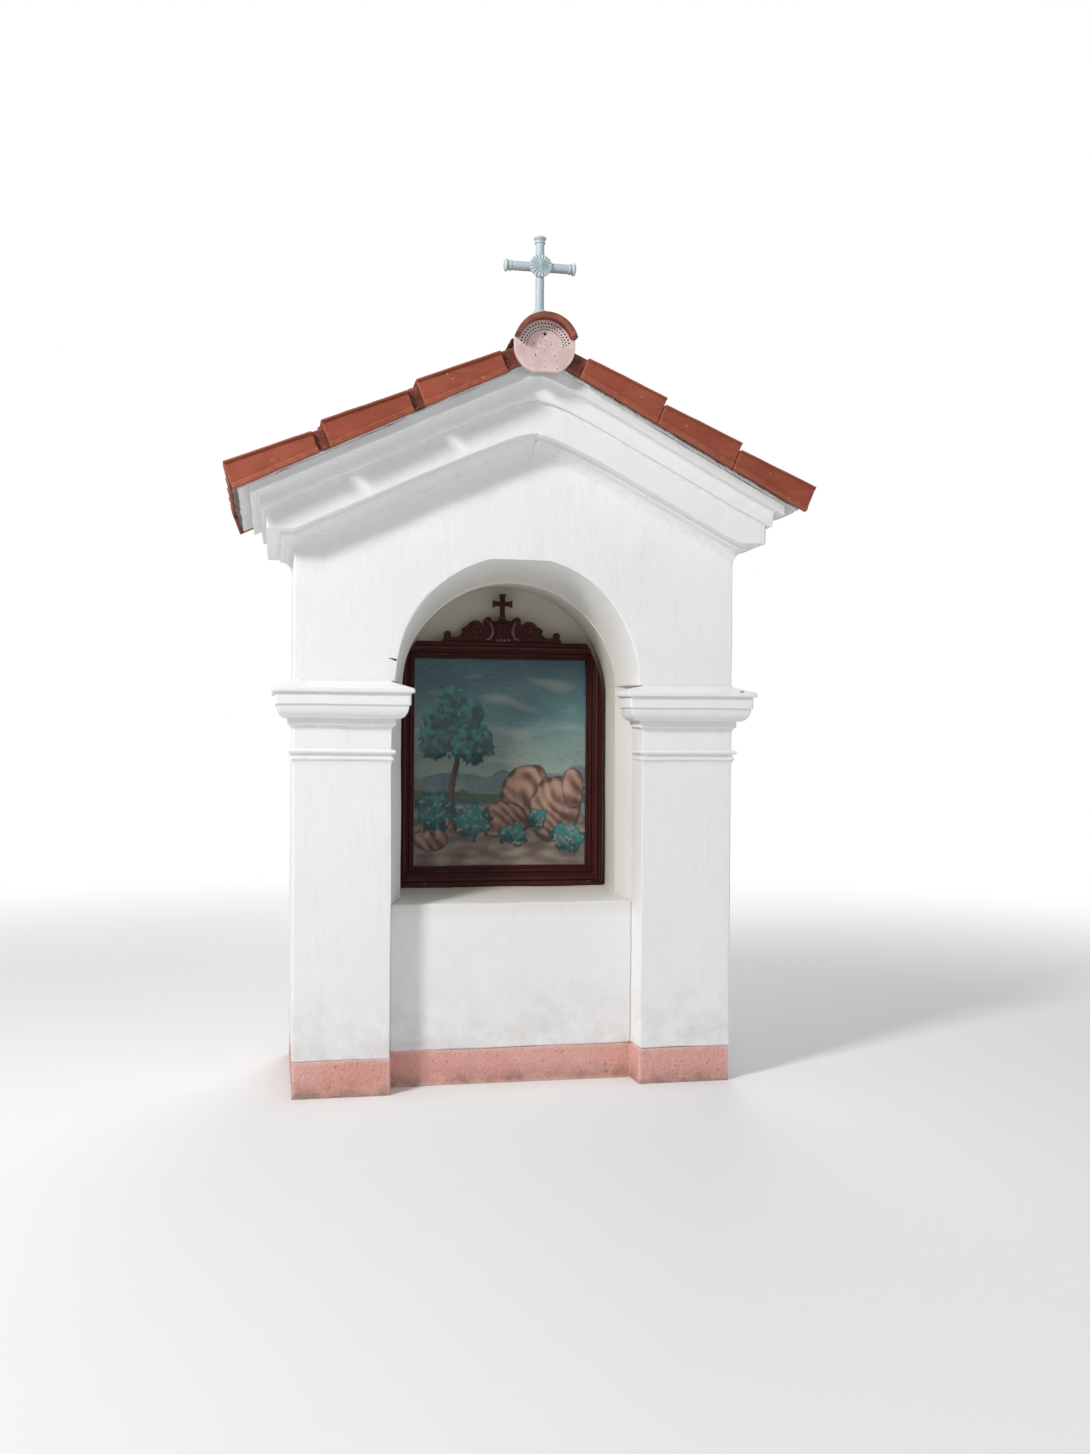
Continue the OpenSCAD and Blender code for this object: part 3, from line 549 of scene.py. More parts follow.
def makeTerracotta():
    look = newLook("firedClay")
    look.blend(look.attribute("tile"), (0.325, 0.072, 0.036), (0.415, 0.108, 0.058))
    patches = look.noise(7.0, 6.0, 0.6)
    look.shade(patches, 0.35, 0.68, (0.25, 0.050, 0.034), 0.55)
    # faint drag lines along the fall of the clay
    drag = look.noise(1.0, 3.0, 0.5, (4, 90, 30))
    look.shade(drag, 0.5, 0.75, (0.50, 0.17, 0.10), 0.25)
    # the tiles' dark value: weathering, and painted shade on set-back parts and inside the ridge tiles
    dark = look.attribute("soot")
    sootAndShadeMask = look.times(dark, look.ranged(look.noise(34.0, 7.0, 0.7), 0.2, 0.52))
    look.cover(sootAndShadeMask, (0.070, 0.022, 0.017), 0.92)
    spots = look.specks(75.0, 0.16, 0.16)
    look.cover(spots, (0.10, 0.035, 0.03), 0.8)
    # lichen: pale specks, thick where the tile's dark value (weathering and painted shade) is high
    crust = look.times(look.ranged(look.noise(120.0, 5.0, 0.75), 0.60, 0.70), dark)
    look.cover(look.math("MAXIMUM", look.specks(48.0, 0.13, 0.10), crust), (0.55, 0.44, 0.37), 0.6)
    edges = look.edges(0.42, 1.25, 110.0, 0.9)
    # paler raised edges: wear, partly a painted highlight on the tile noses
    look.cover(edges["Worn"], (0.56, 0.25, 0.17), 0.3)
    # painted shade in the creases and hollows
    look.cover(edges["Hollow"], (0.10, 0.035, 0.028), 0.6)
    broad, fine = look.noise(22.0, 3.0, 0.5), look.noise(190.0, 4.0, 0.6)
    relief = look.summed(broad, (fine, 0.35), (drag, 0.25), (spots, -0.35))
    return look.finish(look.ranged(patches, 0.3, 0.7, 0.62, 0.86), relief, 0.0020, 0.25)


def makeMortar():
    look = newLook("roughMortar")
    patches, stones = look.noise(18.0, 7.0, 0.7), look.stones(120.0)
    # the dark of the bed is partly the mortar's own colour and partly painted shade under the tiles
    look.base(patches, (0.055, 0.048, 0.038), (0.16, 0.138, 0.115))
    look.cover(look.ranged(stones, 0.0, 0.5, 0.30, 0.0), (0.30, 0.27, 0.22))
    moss = look.noise(6.0, 5.0, 0.6)
    look.shade(moss, 0.55, 0.75, (0.060, 0.072, 0.030), 0.5)
    # the plaster's white runs a little way up the bed
    rise = look.attribute("rise")
    ragged = look.summed(rise, (look.noise(45.0, 5.0, 0.7), 0.012))
    look.shade(ragged, 0.015, 0.011, (0.77, 0.77, 0.765))
    # the pointing under the ridge tiles is paler
    look.shade(rise, 0.060, 0.068, (0.40, 0.365, 0.32), 0.7)
    return look.finish(0.95, look.summed(look.times(patches, 1.6), (stones, -0.7)), 0.006)


def makeCapClay():
    look = newLook("paleCapClay")
    patches = look.noise(14.0, 6.0, 0.62)
    look.base(patches, (0.58, 0.40, 0.385), (0.73, 0.565, 0.545))
    runs = look.noise(1.0, 5.0, 0.65, (46, 46, 4))
    look.shade(runs, 0.55, 0.8, (0.50, 0.33, 0.30), 0.35)
    look.cover(look.specks(120.0, 0.2, 0.14), (0.33, 0.19, 0.17), 0.5)
    # paler raised edges: wear, partly a painted highlight
    look.cover(look.edges(0.4, 1.2, 90.0, 0.7)["Worn"], (0.84, 0.73, 0.70), 0.5)
    # painted shade: the floors of the drilled holes go nearly black
    look.shade(look.attribute("pit"), 0.0, 0.06, (0.020, 0.012, 0.011))
    return look.finish(0.72, look.summed(patches, (look.noise(170.0, 4.0, 0.6), 0.5)), 0.0015)


def makeCrossPaint():
    look = newLook("paleBluePaint")
    patches = look.noise(16.0, 5.0, 0.6)
    look.base(patches, (0.42, 0.52, 0.56), (0.50, 0.59, 0.62))
    edges = look.edges(0.5, 1.1, 120.0, 0.3)
    # paler raised edges: wear, partly a painted highlight
    look.cover(edges["Worn"], (0.72, 0.78, 0.79), 0.25)
    # painted shade in the hollows, such as the valleys of the rosette
    look.cover(edges["Hollow"], (0.15, 0.18, 0.195), 0.65)
    rust = look.specks(95.0, 0.13, 0.05)
    look.cover(rust, (0.24, 0.12, 0.07), 0.55)
    rough = look.summed(look.ranged(patches, 0.3, 0.7, 0.40, 0.55), (rust, 0.3))
    relief = look.summed(patches, (look.noise(110.0, 3.0, 0.5), 0.3), (rust, -0.3))
    return look.finish(rough, relief, 0.0004)


def makeOxblood():
    look = newLook("oxbloodPaint")
    upright, level = look.noise(1.0, 5.0, 0.6, (120, 120, 5)), look.noise(1.0, 5.0, 0.6, (5, 120, 120))
    grain = look.add("Mix", {0: look.attribute("grainAlongX"), 2: upright, 3: level}, data_type="FLOAT").outputs[0]
    look.base(grain, (0.021, 0.0036, 0.0035), (0.041, 0.0066, 0.0060), 0.3, 0.72)
    patches = look.noise(9.0, 5.0, 0.6)
    look.shade(patches, 0.5, 0.75, (0.058, 0.014, 0.012), 0.3)
    edges = look.edges(0.40, 1.2, 85.0, 1.1)
    # paler raised edges of the carving and mouldings: wear, partly a painted highlight
    look.cover(edges["Worn"], (0.17, 0.065, 0.052), 0.3)
    # painted shade in the creases and hollows
    look.cover(edges["Hollow"], (0.012, 0.004, 0.004), 0.6)
    # the paint has gone from the brackets beside the shield, the beads under it and the screws
    bare = look.times(look.attribute("rubbed"), look.ranged(look.noise(150.0, 4.0, 0.6), 0.32, 0.6))
    look.cover(bare, (0.22, 0.135, 0.125))
    rough = look.ranged(patches, 0.3, 0.7, 0.40, 0.56)
    return look.finish(rough, look.summed(grain, (patches, 0.4)), 0.0008, 0.12)


def makePicturePaint():
    look = newLook("picturePaint")
    look.colour = look.attribute("paint", "Color")
    strokes = look.noise(1.0, 4.0, 0.6, (46, 46, 150), 0.6)
    look.shade(strokes, 0.45, 0.75, (0.42, 0.44, 0.40), 0.12)
    look.shade(strokes, 0.5, 0.3, (0.03, 0.045, 0.05), 0.22)
    return look.finish(look.ranged(strokes, 0.3, 0.7, 0.42, 0.6), strokes, 0.0006, 0.15)


def makePaneGlass():
    look = newLook("paneGlass")
    look.colour = (0.93, 0.96, 0.95, 1)
    look.feed(look.shader, {"Transmission Weight": 1.0, "IOR": 1.25})
    dust, waves = look.noise(7.0, 6.0, 0.7), look.noise(1.0, 2.0, 0.5, (5, 5, 1.6))
    look.swap(look.add("LightPath").outputs["Is Shadow Ray"], look.add("BsdfTransparent", {"Color": look.colour}))
    return look.finish(look.ranged(dust, 0.5, 0.8, 0.0, 0.02), waves, 0.0004)


looks = {"lime_plaster": makePlaster(), "plinth_paint": makePlinthPaint(), "terracotta": makeTerracotta(),
         "mortar": makeMortar(), "pale_ceramic": makeCapClay(), "cross_paint": makeCrossPaint(),
         "frame_paint": makeOxblood(), "painted_panel": makePicturePaint(), "clear_glass": makePaneGlass()}
print("materials ready")

ridgeX, roofTop = 0.044, 2.589         # where the two slopes meet
roofSlope = {-1: 0.4797, 1: 0.5241}    # fall per metre to the left and to the right


def fallAt(x):
    return roofSlope[1 if x > ridgeX else -1]


def roofZ(x):
    return roofTop - abs(x - ridgeX) * fallAt(x)


plasterSet = {"round": 0.007, "segments": 3, "cell": 0.034, "apex": 0.075, "taper": 0.09, "seed": 3.1,
              "waves": [(0.55, 0.0034), (0.19, 0.0025), (0.05, 0.0006)],
              "apexCuts": (-0.09, -0.06, -0.04, -0.02, -0.008, 0, 0.008, 0.02, 0.04, 0.06, 0.09)}
plasterNodes = [n for n in nodes if n.startswith((
    "pier", "side_wall", "parapet_wall", "niche_", "necking", "impost", "front_gable", "attic",
    "raking", "rear_cornice", "eaves"))]
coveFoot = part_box("eaves_cornice_left")[0].z


# the two raking cornices meet in a soft point, lower than their straight lines would
def softenApex(bm):
    for step in plasterSet["apexCuts"]:
        cutAt(bm, 0, ridgeX + step)
    for v in bm.verts:
        away = v.co.x - ridgeX
        share = clamped((v.co.z - 2.15) / 0.15) * clamped((roofZ(v.co.x) - v.co.z) / 0.06)
        if share > 0:
            v.co.z -= share * (math.hypot(away, plasterSet["apex"]) - abs(away)) * fallAt(v.co.x)


# the upright arrises get sharper towards the foot of the cove that they run into
def arrisTaper(edge):
    a, b = (v.co for v in edge.verts)
    below = coveFoot - (a.z + b.z) / 2
    upright = abs(a.z - b.z) > 0.9 * (a - b).length
    return max(0.05, below / plasterSet["taper"]) if upright and -0.03 < below < plasterSet["taper"] else 1


def plasterSkin():
    s = plasterSet
    piece = united(plasterNodes, "plaster_skin")
    with edited(piece) as bm:
        for i in range(5):
            cutAt(bm, 2, coveFoot - s["taper"] * (0.1 + 0.225 * i))
    roundEdges(piece, s["round"], s["segments"], limit=arrisTaper,
               keep=lambda e: all(abs(v.co.x - ridgeX) < 2e-4 for v in e.verts))
    roughened(piece, s["cell"], s["waves"], s["seed"], softenApex)
    return dressed(piece, "lime_plaster", *plasterNodes, grow=0.004)


print("plaster:", len(plasterSkin().data.polygons), "faces")

# the pink band: coarse render, a hair behind the white coat over it
plinthSet = {"round": 0.006, "cell": 0.022, "inset": 0.003, "seed": 7.7,
             "waves": [(0.30, 0.0022), (0.045, 0.0012), (0.016, 0.0006)]}
plinthNodes = ["plinth_left", "plinth_right", "plinth_parapet"]


def plinthBand():
    s = plinthSet
    piece = united(plinthNodes, "plinth_band")
    with edited(piece) as bm:
        for v in bm.verts:
            v.co -= Vector((math.copysign(s["inset"], v.co.x), math.copysign(s["inset"], v.co.y), 0))
    roundEdges(piece, s["round"], keep=lambda e: all(v.co.z < 0.001 for v in e.verts))
    roughened(piece, s["cell"], s["waves"], s["seed"])
    for v in piece.data.vertices:
        v.co.z = max(v.co.z, 0)
    return dressed(piece, "plinth_paint", *plinthNodes, grow=0.004)


print("plinth:", len(plinthBand().data.polygons), "faces")

bedSet = {"cell": 0.028, "waves": [(0.12, 0.004), (0.035, 0.0035), (0.014, 0.0012)], "seed": 5.2,
          "fillet": 0.109, "foot": 2.652, "spread": 0.016, "filletSeed": 8.4}
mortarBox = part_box("ridge_mortar")


# the mortar squeezed out between the pan tiles and the feet of the ridge tiles
def ridgeFillet():
    middle = (mortarBox[0] + mortarBox[1]) / 2
    low = mortarBox[0].z + bedSet["spread"]
    bm = bmesh.new()
    bmesh.ops.create_cube(bm, size=2)
    for v in bm.verts:
        v.co = (middle.x + v.co.x * bedSet["fillet"], middle.y + v.co.y * (mortarBox[1].y - middle.y - 0.002),
                bedSet["foot"] if v.co.z > 0 else low)
    return asPiece("fillet", bm)


# "rise" is the height over the slope of the roof
def mortarBeds():
    s = bedSet
    beds = [(cleaned(nodeCopy("tile_bed_" + side, "mortar_bed_" + side)), "tile_bed_" + side, s["seed"], 0.003)
            for side in ("left", "right")]
    bedding = cleaned(boolean(nodeCopy("ridge_mortar", "ridge_bedding"), ridgeFillet(), "UNION"), 2)
    half = (mortarBox[1].x - mortarBox[0].x) / 2
    for piece, node, seed, grow in beds + [(bedding, "ridge_mortar", s["filletSeed"], s["fillet"] - half)]:
        marked(piece, "rise", lambda v: v.co.z - roofZ(v.co.x))
        roughened(piece, s["cell"], s["waves"], seed)
        dressed(piece, "mortar", node, grow=grow)


mortarBeds()
print("mortar beds ready")


# "tile" is each tile's own tone; the second value is its dark weathering, and on set-back verge parts and inside the
# ridge tiles painted shade
def paintTiles(piece, soot, seed):
    chance = random.Random(seed)
    with edited(piece) as bm:
        tone = bm.verts.layers.float.new("tile")
        dark = bm.verts.layers.float.new("soot")
        seen = set()
        for first in bm.verts:
            if first in seen:
                continue
            seen.add(first)
            island = [first]
            for v in island:
                near = {e.other_vert(v) for e in v.link_edges} - seen
                seen |= near
                island.extend(near)
            value = chance.random()
            for v in island:
                v[tone], v[dark] = value, soot(v.co)
    return piece


vergeFace = -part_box("verge_tiles_left")[0].y
vergeSet = {"round": 0.0038, "cell": 0.019, "waves": [(0.22, 0.0016), (0.05, 0.0008), (0.017, 0.00045)],
            "seed": {"left": 11.3, "right": 14.9}}


def vergeSootAndShade(co):
    # the set-back necks and everything just behind the hanging faces get the most dark: painted shade under the
    # hanging faces; the rest a little weathering
    behind = vergeFace - abs(co.y)
    return 0.15 + 0.75 * clamped((behind - 0.018) / 0.006) if behind < 0.06 else 0.25


def vergeTiles():
    s = vergeSet
    for row in ("", "rear_"):
        for side in ("left", "right"):
            node = row + "verge_tiles_" + side
            piece = cleaned(nodeCopy(node, row + "verge_pieces_" + side))
            roundEdges(piece, s["round"], share=0.32)
            roughened(piece, s["cell"], s["waves"], s["seed"][side])
            dressed(paintTiles(piece, vergeSootAndShade, node), "terracotta", node, grow=0.002)


vergeTiles()
print("verge tiles ready")

# one interlocking pan tile: a flat pan with a roll whose lip laps the next tile
roofSet = {"rise": 0.501, "courses": 3, "columns": 3, "half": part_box("roof_tiles_left")[1].y, "thick": 0.024,
           "bed": 0.045, "lap": 0.060, "topNose": 0.450, "head": 0.070, "rollWidth": 0.096, "rollHeight": 0.024,
           "lip": 0.0055, "round": 0.0035, "run": {"left": 1.044, "right": 0.956}, "slip": 0.006, "skew": 0.35,
           "waves": [(0.20, 0.0012), (0.045, 0.0006)], "seed": 21.0}
columnWidth = 2 * roofSet["half"] / roofSet["columns"]


def rollHeight(y):
    s = roofSet
    near = round((y + s["half"]) / columnWidth) * columnWidth - s["half"]
    away, reach = abs(y - near), s["rollWidth"] / 2
    return s["rollHeight"] * (1 + math.cos(math.pi * away / reach)) / 2 if away < reach else 0.0


def panTile(bm, low, high, length, place, lapped):
    s = roofSet
    tile = bmesh.new()
    bmesh.ops.create_grid(tile, x_segments=26, y_segments=7, size=0.5)
    for v in tile.verts:
        across = low + (high - low) * (v.co.x + 0.5)
        z = rollHeight(across) + s["thick"] - 0.0008
        if lapped and across > high - 0.02:
            z = max(z, s["thick"] + s["lip"])
        v.co = (-length * (v.co.y + 0.5), across, z)
    for v in otherSide(tile):
        under = rollHeight(v.co.y) + 0.0005
        v.co.z = max(under, s["thick"] - 0.003) if lapped and v.co.y >= high - 0.012 else under
    bmesh.ops.recalc_face_normals(tile, faces=tile.faces)
    sharp = [e for e in tile.edges if e.is_manifold and e.calc_face_angle() > 0.9]
    bmesh.ops.bevel(tile, geom=sharp, offset=s["round"], offset_type="OFFSET", segments=2, profile=0.5,
                    affect="EDGES", material=-1)
    tile.transform(place)
    mesh = bpy.data.meshes.new("tile")
    tile.to_mesh(mesh)
    tile.free()
    bm.from_mesh(mesh)
    bpy.data.meshes.remove(mesh)


def panTiles(side):
    s = roofSet
    chance = random.Random(side)
    run = s["run"][side]
    slope = math.hypot(run, s["rise"])
    exposure = (slope - s["topNose"]) / (s["courses"] - 1)
    full = exposure + s["lap"]
    rise = s["thick"] * full / exposure
    turn = Matrix.Scale(-1, 4, (1, 0, 0)) if side == "left" else Matrix.Identity(4)
    ridge = Matrix.Translation((ridgeX, 0, roofTop)) @ turn @ Matrix.Rotation(math.atan2(s["rise"], run), 4, "Y")
    bm = bmesh.new()
    for course in range(s["courses"]):
        length = s["topNose"] - s["head"] if course == 0 else full
        nose = slope - (s["courses"] - 1 - course) * exposure
        for i in range(s["columns"]):
            low = -s["half"] + i * columnWidth + (s["rollWidth"] / 2 - 0.004 if i else 0.0)
            high = min(-s["half"] + (i + 1) * columnWidth + s["rollWidth"] / 2, s["half"])
            slip = chance.uniform(-s["slip"], 0.0)
            skew = Matrix.Rotation(math.radians(chance.uniform(-s["skew"], s["skew"])), 4, "Z")
            place = ridge @ Matrix.Translation((nose + slip, 0, s["bed"] + rise)) \
                @ Matrix.Rotation(-math.asin(rise / full), 4, "Y") @ skew
            panTile(bm, low, high, length + slip, place, i < s["columns"] - 1)
    piece = roughened(asPiece("pan_tiles_" + side, bm), 0.2, s["waves"], s["seed"])
    node = "roof_tiles_" + side
    paintTiles(piece, lambda co: 0.3 + 0.3 * noise.noise(co * 3.0), node)
    return dressed(piece, "terracotta", node, grow=0.002)


for side in ("left", "right"):
    print("pan tiles", side + ":", len(panTiles(side).data.polygons), "faces")

ridgeSet = {"axis": Vector((ridgeX, 0, 2.620)), "ends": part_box("ridge_tiles")[1].y, "count": 3, "inner": 0.095,
            "outer": 0.105, "collar": 0.113, "collarWidth": 0.046, "foot": 0.030, "steps": 30,
            "waves": [(0.16, 0.0014), (0.04, 0.0006)], "seed": 31.0}


# one half-round ridge tile: its section is spun about the ridge's axis
def ridgeTile(y0, y1, lastOne):
    s = ridgeSet
    r0, r1, r2, w = s["inner"], s["outer"] - 0.0008, s["collar"], s["collarWidth"]
    rim = [(0, r2 - 0.004), (0.0015, r2 - 0.001), (0.005, r2), (w - 0.006, r2), (w - 0.002, r2 - 0.002),
           (w, r1 + 0.002)]
    section = [(y0, r0 + 0.003)] + [(y0 + y, r) for y, r in rim] + [(y0 + w + 0.004, r1)]
    section += [(y0 + w + (y1 - y0 - 2 * w) * i / 9, r1) for i in range(1, 10)]
    section += [(y1 - y, r) for y, r in reversed(rim)] if lastOne else [(y1 - 0.0015, r1)]
    section += [(y1, r0 + 0.003), (y1 - 0.003, r0)]
    section += [(y1 - 0.003 - (y1 - y0 - 0.006) * i / 12, r0) for i in range(1, 13)]
    bm = bmesh.new()
    axis, low = s["axis"], math.asin(s["foot"] / s["collar"])
    corners = [bm.verts.new((axis.x + r * math.cos(low), y, axis.z + r * math.sin(low))) for y, r in section]
    loop = [bm.edges.new((corners[i - 1], corners[i])) for i in range(len(corners))]
    bmesh.ops.spin(bm, geom=corners + loop, cent=axis, axis=(0, -1, 0), dvec=(0, 0, 0),
                   angle=math.pi - 2 * low, steps=s["steps"], use_merge=False, use_duplicate=False)
    bmesh.ops.holes_fill(bm, edges=[e for e in bm.edges if e.is_boundary], sides=0)
    for v in bm.verts:
        v.co.z = max(v.co.z, axis.z + s["foot"])
    return asPiece("ridgeTile", bm)


# dark on the two open ends but for their inner rim; the inside of the tiles is darkened as painted shade, the outside
# weathers at random
def ridgeSootAndShade(co):
    s = ridgeSet
    ends = s["ends"] - abs(co.y)
    if math.hypot(co.x - s["axis"].x, co.z - s["axis"].z) < s["inner"] + 0.0015:
        return 0.1 if ends < 0.005 else 0.75
    return 0.9 if ends < 0.006 else 0.45 + 0.35 * noise.noise(co * 5.0)


def ridgeTiles():
    s = ridgeSet
    pitch = 2 * s["ends"] / s["count"]
    pieces = []
    for i in range(s["count"]):
        y0, last = -s["ends"] + i * pitch, i == s["count"] - 1
        pieces.append(ridgeTile(y0, y0 + pitch - (0 if last else 0.002), last))
    piece = roughened(joined("ridge_pieces", pieces), 0.9, s["waves"], s["seed"])
    return dressed(paintTiles(piece, ridgeSootAndShade, "ridge"), "terracotta", "ridge_tiles", grow=0.001)


print("ridge tiles:", len(ridgeTiles().data.polygons), "faces")

# the pierced plates that close the ridge's two ends
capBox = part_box("ridge_end_caps")
capSet = {"x": (capBox[0].x + capBox[1].x) / 2, "z": 2.612, "face": capBox[1].y, "depth": 0.009, "lift": 0.002,
          "rows": ((0.0660, 0.0027), (0.0755, 0.0030), (0.0870, 0.0033)), "count": 22, "pitch": 7.5,
          "small": 0.0021, "round": 0.0022, "cell": 0.026,
          "scattered": [(-0.008, 0.041), (0.013, 0.039), (0.002, 0.031), (-0.017, 0.020), (-0.039, 0.018),
                        (0.022, 0.018), (0.0025, 0.0145), (-0.025, 0.0), (0.0, -0.005), (0.028, -0.002),
                        (-0.033, -0.018), (-0.034, -0.0225), (-0.032, -0.027), (0.034, -0.021), (-0.042, -0.034),
                        (0.0, -0.042), (0.042, -0.040), (-0.042, -0.060), (0.0, -0.062), (0.044, -0.064)]}


def capDrills(sign):
    s = capSet
    places = []    # x, z and radius
    for row, (r, dot) in enumerate(s["rows"]):
        count = s["count"] - row
        for i in range(count + 1):
            angle = math.radians(90 + s["pitch"] * (i - count / 2))
            places.append((r * math.cos(angle), s["lift"] + r * math.sin(angle), dot))
    places += [(x, z, s["small"]) for x, z in s["scattered"]]
    bm = bmesh.new()
    for x, z, r in places:
        bmesh.ops.create_cone(bm, cap_ends=True, segments=8, radius1=r, radius2=r, depth=2 * s["depth"],
                              matrix=facingFront(s["x"] + x, sign * s["face"], s["z"] + z))
    return asPiece("drills", bm)


# "pit" is 1 on the floors of the drilled holes, which the cap's material paints near black as shade
def endCaps():
    s = capSet
    piece = cleaned(nodeCopy("ridge_end_caps", "pierced_end_caps"), 1)
    roughened(roundEdges(piece, s["round"], sharp=50, share=20), s["cell"], [])
    for sign in (-1, 1):
        boolean(piece, capDrills(sign), "DIFFERENCE")
    marked(markEdges(piece), "pit", lambda v: abs(s["face"] - abs(v.co.y) - s["depth"]) < 2e-4)
    return finished(piece, "pale_ceramic", "ridge_end_caps")


print("end caps:", len(endCaps().data.polygons), "faces")


# a turned solid about a line from start along way; profile is (radius, distance along)
def turned(profile, start, way, steps=32):
    bm = bmesh.new()
    start, way = Vector(start), Vector(way).normalized()
    side = way.orthogonal().normalized()
    line = [bm.verts.new(start + way * h + side * r) for r, h in profile]
    edges = [bm.edges.new((line[i], line[i + 1])) for i in range(len(line) - 1)]
    bmesh.ops.spin(bm, geom=line + edges, cent=start, axis=way, dvec=(0, 0, 0), angle=2 * math.pi, steps=steps,
                   use_merge=True, use_duplicate=False)
    bmesh.ops.remove_doubles(bm, verts=bm.verts, dist=2e-5)
    return asPiece("turned", bm)


uprightBox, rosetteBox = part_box("cross_upright"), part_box("cross_rosette")
crossSet = {"x": ridgeX, "y": (uprightBox[0].y + uprightBox[1].y) / 2, "foot": uprightBox[0].z,
            "arm": (rosetteBox[0].z + rosetteBox[1].z) / 2, "top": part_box("cross_end_caps")[1].z,
            "shaft": 0.0155, "bar": 0.0165, "span": 0.262, "knob": 0.023, "knobThick": 0.018, "rays": 18,
            "rosette": 0.040, "rosetteBack": rosetteBox[1].y, "flute": 0.0032, "footRound": 0.002,
            # share of the radius and height over the back
            "rings": [(1.0, 0.0048), (0.97, 0.0072), (0.82, 0.0080), (0.62, 0.0086), (0.40, 0.0092),
                      (0.20, 0.0100), (0.07, 0.0112)]}


def pipe(start, way, length, r):
    rings = max(3, int(length / 0.03))
    profile = [(0, 0), (r - 0.001, 0)] + [(r, 0.001 + (length - 0.002) * i / rings) for i in range(rings + 1)]
    return turned(profile + [(r - 0.001, length), (0, length)], start, way)


# the flattened caps on the pipe ends, each with a ring behind it
def pipeCap(end, way):
    k, t = crossSet["knob"], crossSet["knobThick"]
    profile = [(0, -0.010), (0.0180, -0.010), (0.0192, -0.0085), (0.0192, -0.0050), (0.0180, -0.0035),
               (0.0168, -0.0030), (0.0168, 0.0015), (0.0185, 0.0030), (0.0212, 0.0052), (k - 0.0004, 0.0072),
               (k, 0.0085), (k - 0.0006, 0.0100), (0.0200, 0.0128), (0.0155, 0.0152), (0.0100, 0.0168),
               (0.0045, t - 0.0003), (0, t)]
    return turned(profile, Vector(end) - Vector(way) * t, way)


# a flat disc of sharp rays that run together at the middle
def rosette():
    s = crossSet
    bm = bmesh.new()
    loops = [bmesh.ops.create_circle(bm, cap_ends=False, radius=s["rosette"], segments=s["rays"] * 4)["verts"]]
    edges = bm.edges[:]
    for share, _ in s["rings"][1:]:
        ring, edges = nextRing(bm, edges)
        loops.append(ring)
        for v in ring:
            v.co.xy = v.co.xy.normalized() * share * s["rosette"]
    bmesh.ops.holes_fill(bm, edges=edges, sides=0)
    for loop, (share, depth) in zip(loops, s["rings"]):
        for v in loop:
            turn = math.atan2(v.co.y, v.co.x) / (2 * math.pi) * s["rays"]
            hollow = 1 - abs((turn % 1) - 0.5) * 2    # 0 on a ray, 1 midway between two
            v.co.z = depth - s["flute"] * min(1, share / 0.5) * min(1, 1.35 * hollow)
            if share > 0.9:
                v.co.xy *= 1 - 0.014 * hollow
    for v in otherSide(bm):
        v.co.z = 0
    bm.transform(facingFront(s["x"], s["rosetteBack"], s["arm"]))
    return asPiece("cross_sunburst", bm)


def makeCross():
    s = crossSet
    x, y, arm, top, reach = s["x"], s["y"], s["arm"], s["top"], s["span"] / 2
    up = pipe((x, y, s["foot"]), (0, 0, 1), top - s["foot"] - s["knobThick"] - 0.0005, s["shaft"])
    half = reach - s["knobThick"]
    bar = pipe((x - half + 0.0003, y, arm), (1, 0, 0), 2 * half - 0.0006, s["bar"])
    up.name, bar.name = "cross_pipe", "cross_bar"
    ends = [((x, y, top), (0, 0, 1)), ((x - reach, y, arm), (-1, 0, 0)), ((x + reach, y, arm), (1, 0, 0))]
    knobs = joined("cross_knobs", [pipeCap(end, way) for end, way in ends])
    finished(markEdges(rosette()), "cross_paint", "cross_rosette", grow=0.0006)
    foot = roundEdges(cleaned(nodeCopy("cross_foot", "cross_socket"), 2), s["footRound"], sharp=30)
    for piece, node in ((up, "cross_upright"), (bar, "cross_arms"), (knobs, "cross_end_caps"), (foot, "cross_foot")):
        dressed(piece, "cross_paint", node)


makeCross()
print("cross ready")


# marks pieces whose paint has been rubbed off
def rubbed(pieces):
    return [marked(piece, "rubbed", lambda v: 1.0) for piece in pieces]


# the picture frame: one moulding mitred round the sight, its top corners cut to the arch
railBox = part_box("frame_rails")
frameSet = {"half": railBox[1].x, "low": railBox[0].z, "high": railBox[1].z, "front": railBox[0].y,
            "sight": railBox[1].x - 0.060, "sightLow": railBox[0].z + 0.079, "sightHigh": railBox[1].z - 0.064,
            "cut": railBox[1].x - 0.0005, "cutZ": 1.416, "round": 0.0012, "cell": 0.045, "screws": (-0.297, 0.344),
            "waves": [(0.12, 0.0005)], "seed": 41.0}
# share of the way from the sight to the outer edge, and depth behind the face
mouldSteps = [(0.0, 0.0385), (0.0, 0.0215), (0.03, 0.0190), (0.15, 0.0188), (0.17, 0.0155), (0.20, 0.0118),
              (0.25, 0.0098), (0.30, 0.0112), (0.34, 0.0140), (0.37, 0.0142), (0.42, 0.0122), (0.50, 0.0078),
              (0.58, 0.0044), (0.66, 0.0030), (0.72, 0.0040), (0.74, 0.0058), (0.77, 0.0058), (0.775, 0.0012),
              (0.80, 0.0), (0.97, 0.0), (1.0, 0.0016), (1.0, 0.042)]
# radius and distance out of the face
screwHead = [(0, -0.004), (0.0042, -0.004), (0.0042, 0.0002), (0.0030, 0.0009), (0.0012, 0.0009),
             (0.0009, 0.0003), (0, 0.0003)]


def cornerOf(share, sx, top):
    s = frameSet
    x = s["sight"] + (s["half"] - s["sight"]) * share
    if top:
        return sx * x, s["sightHigh"] + (s["high"] - s["sightHigh"]) * share
    return sx * x, s["sightLow"] - (s["sightLow"] - s["low"]) * share


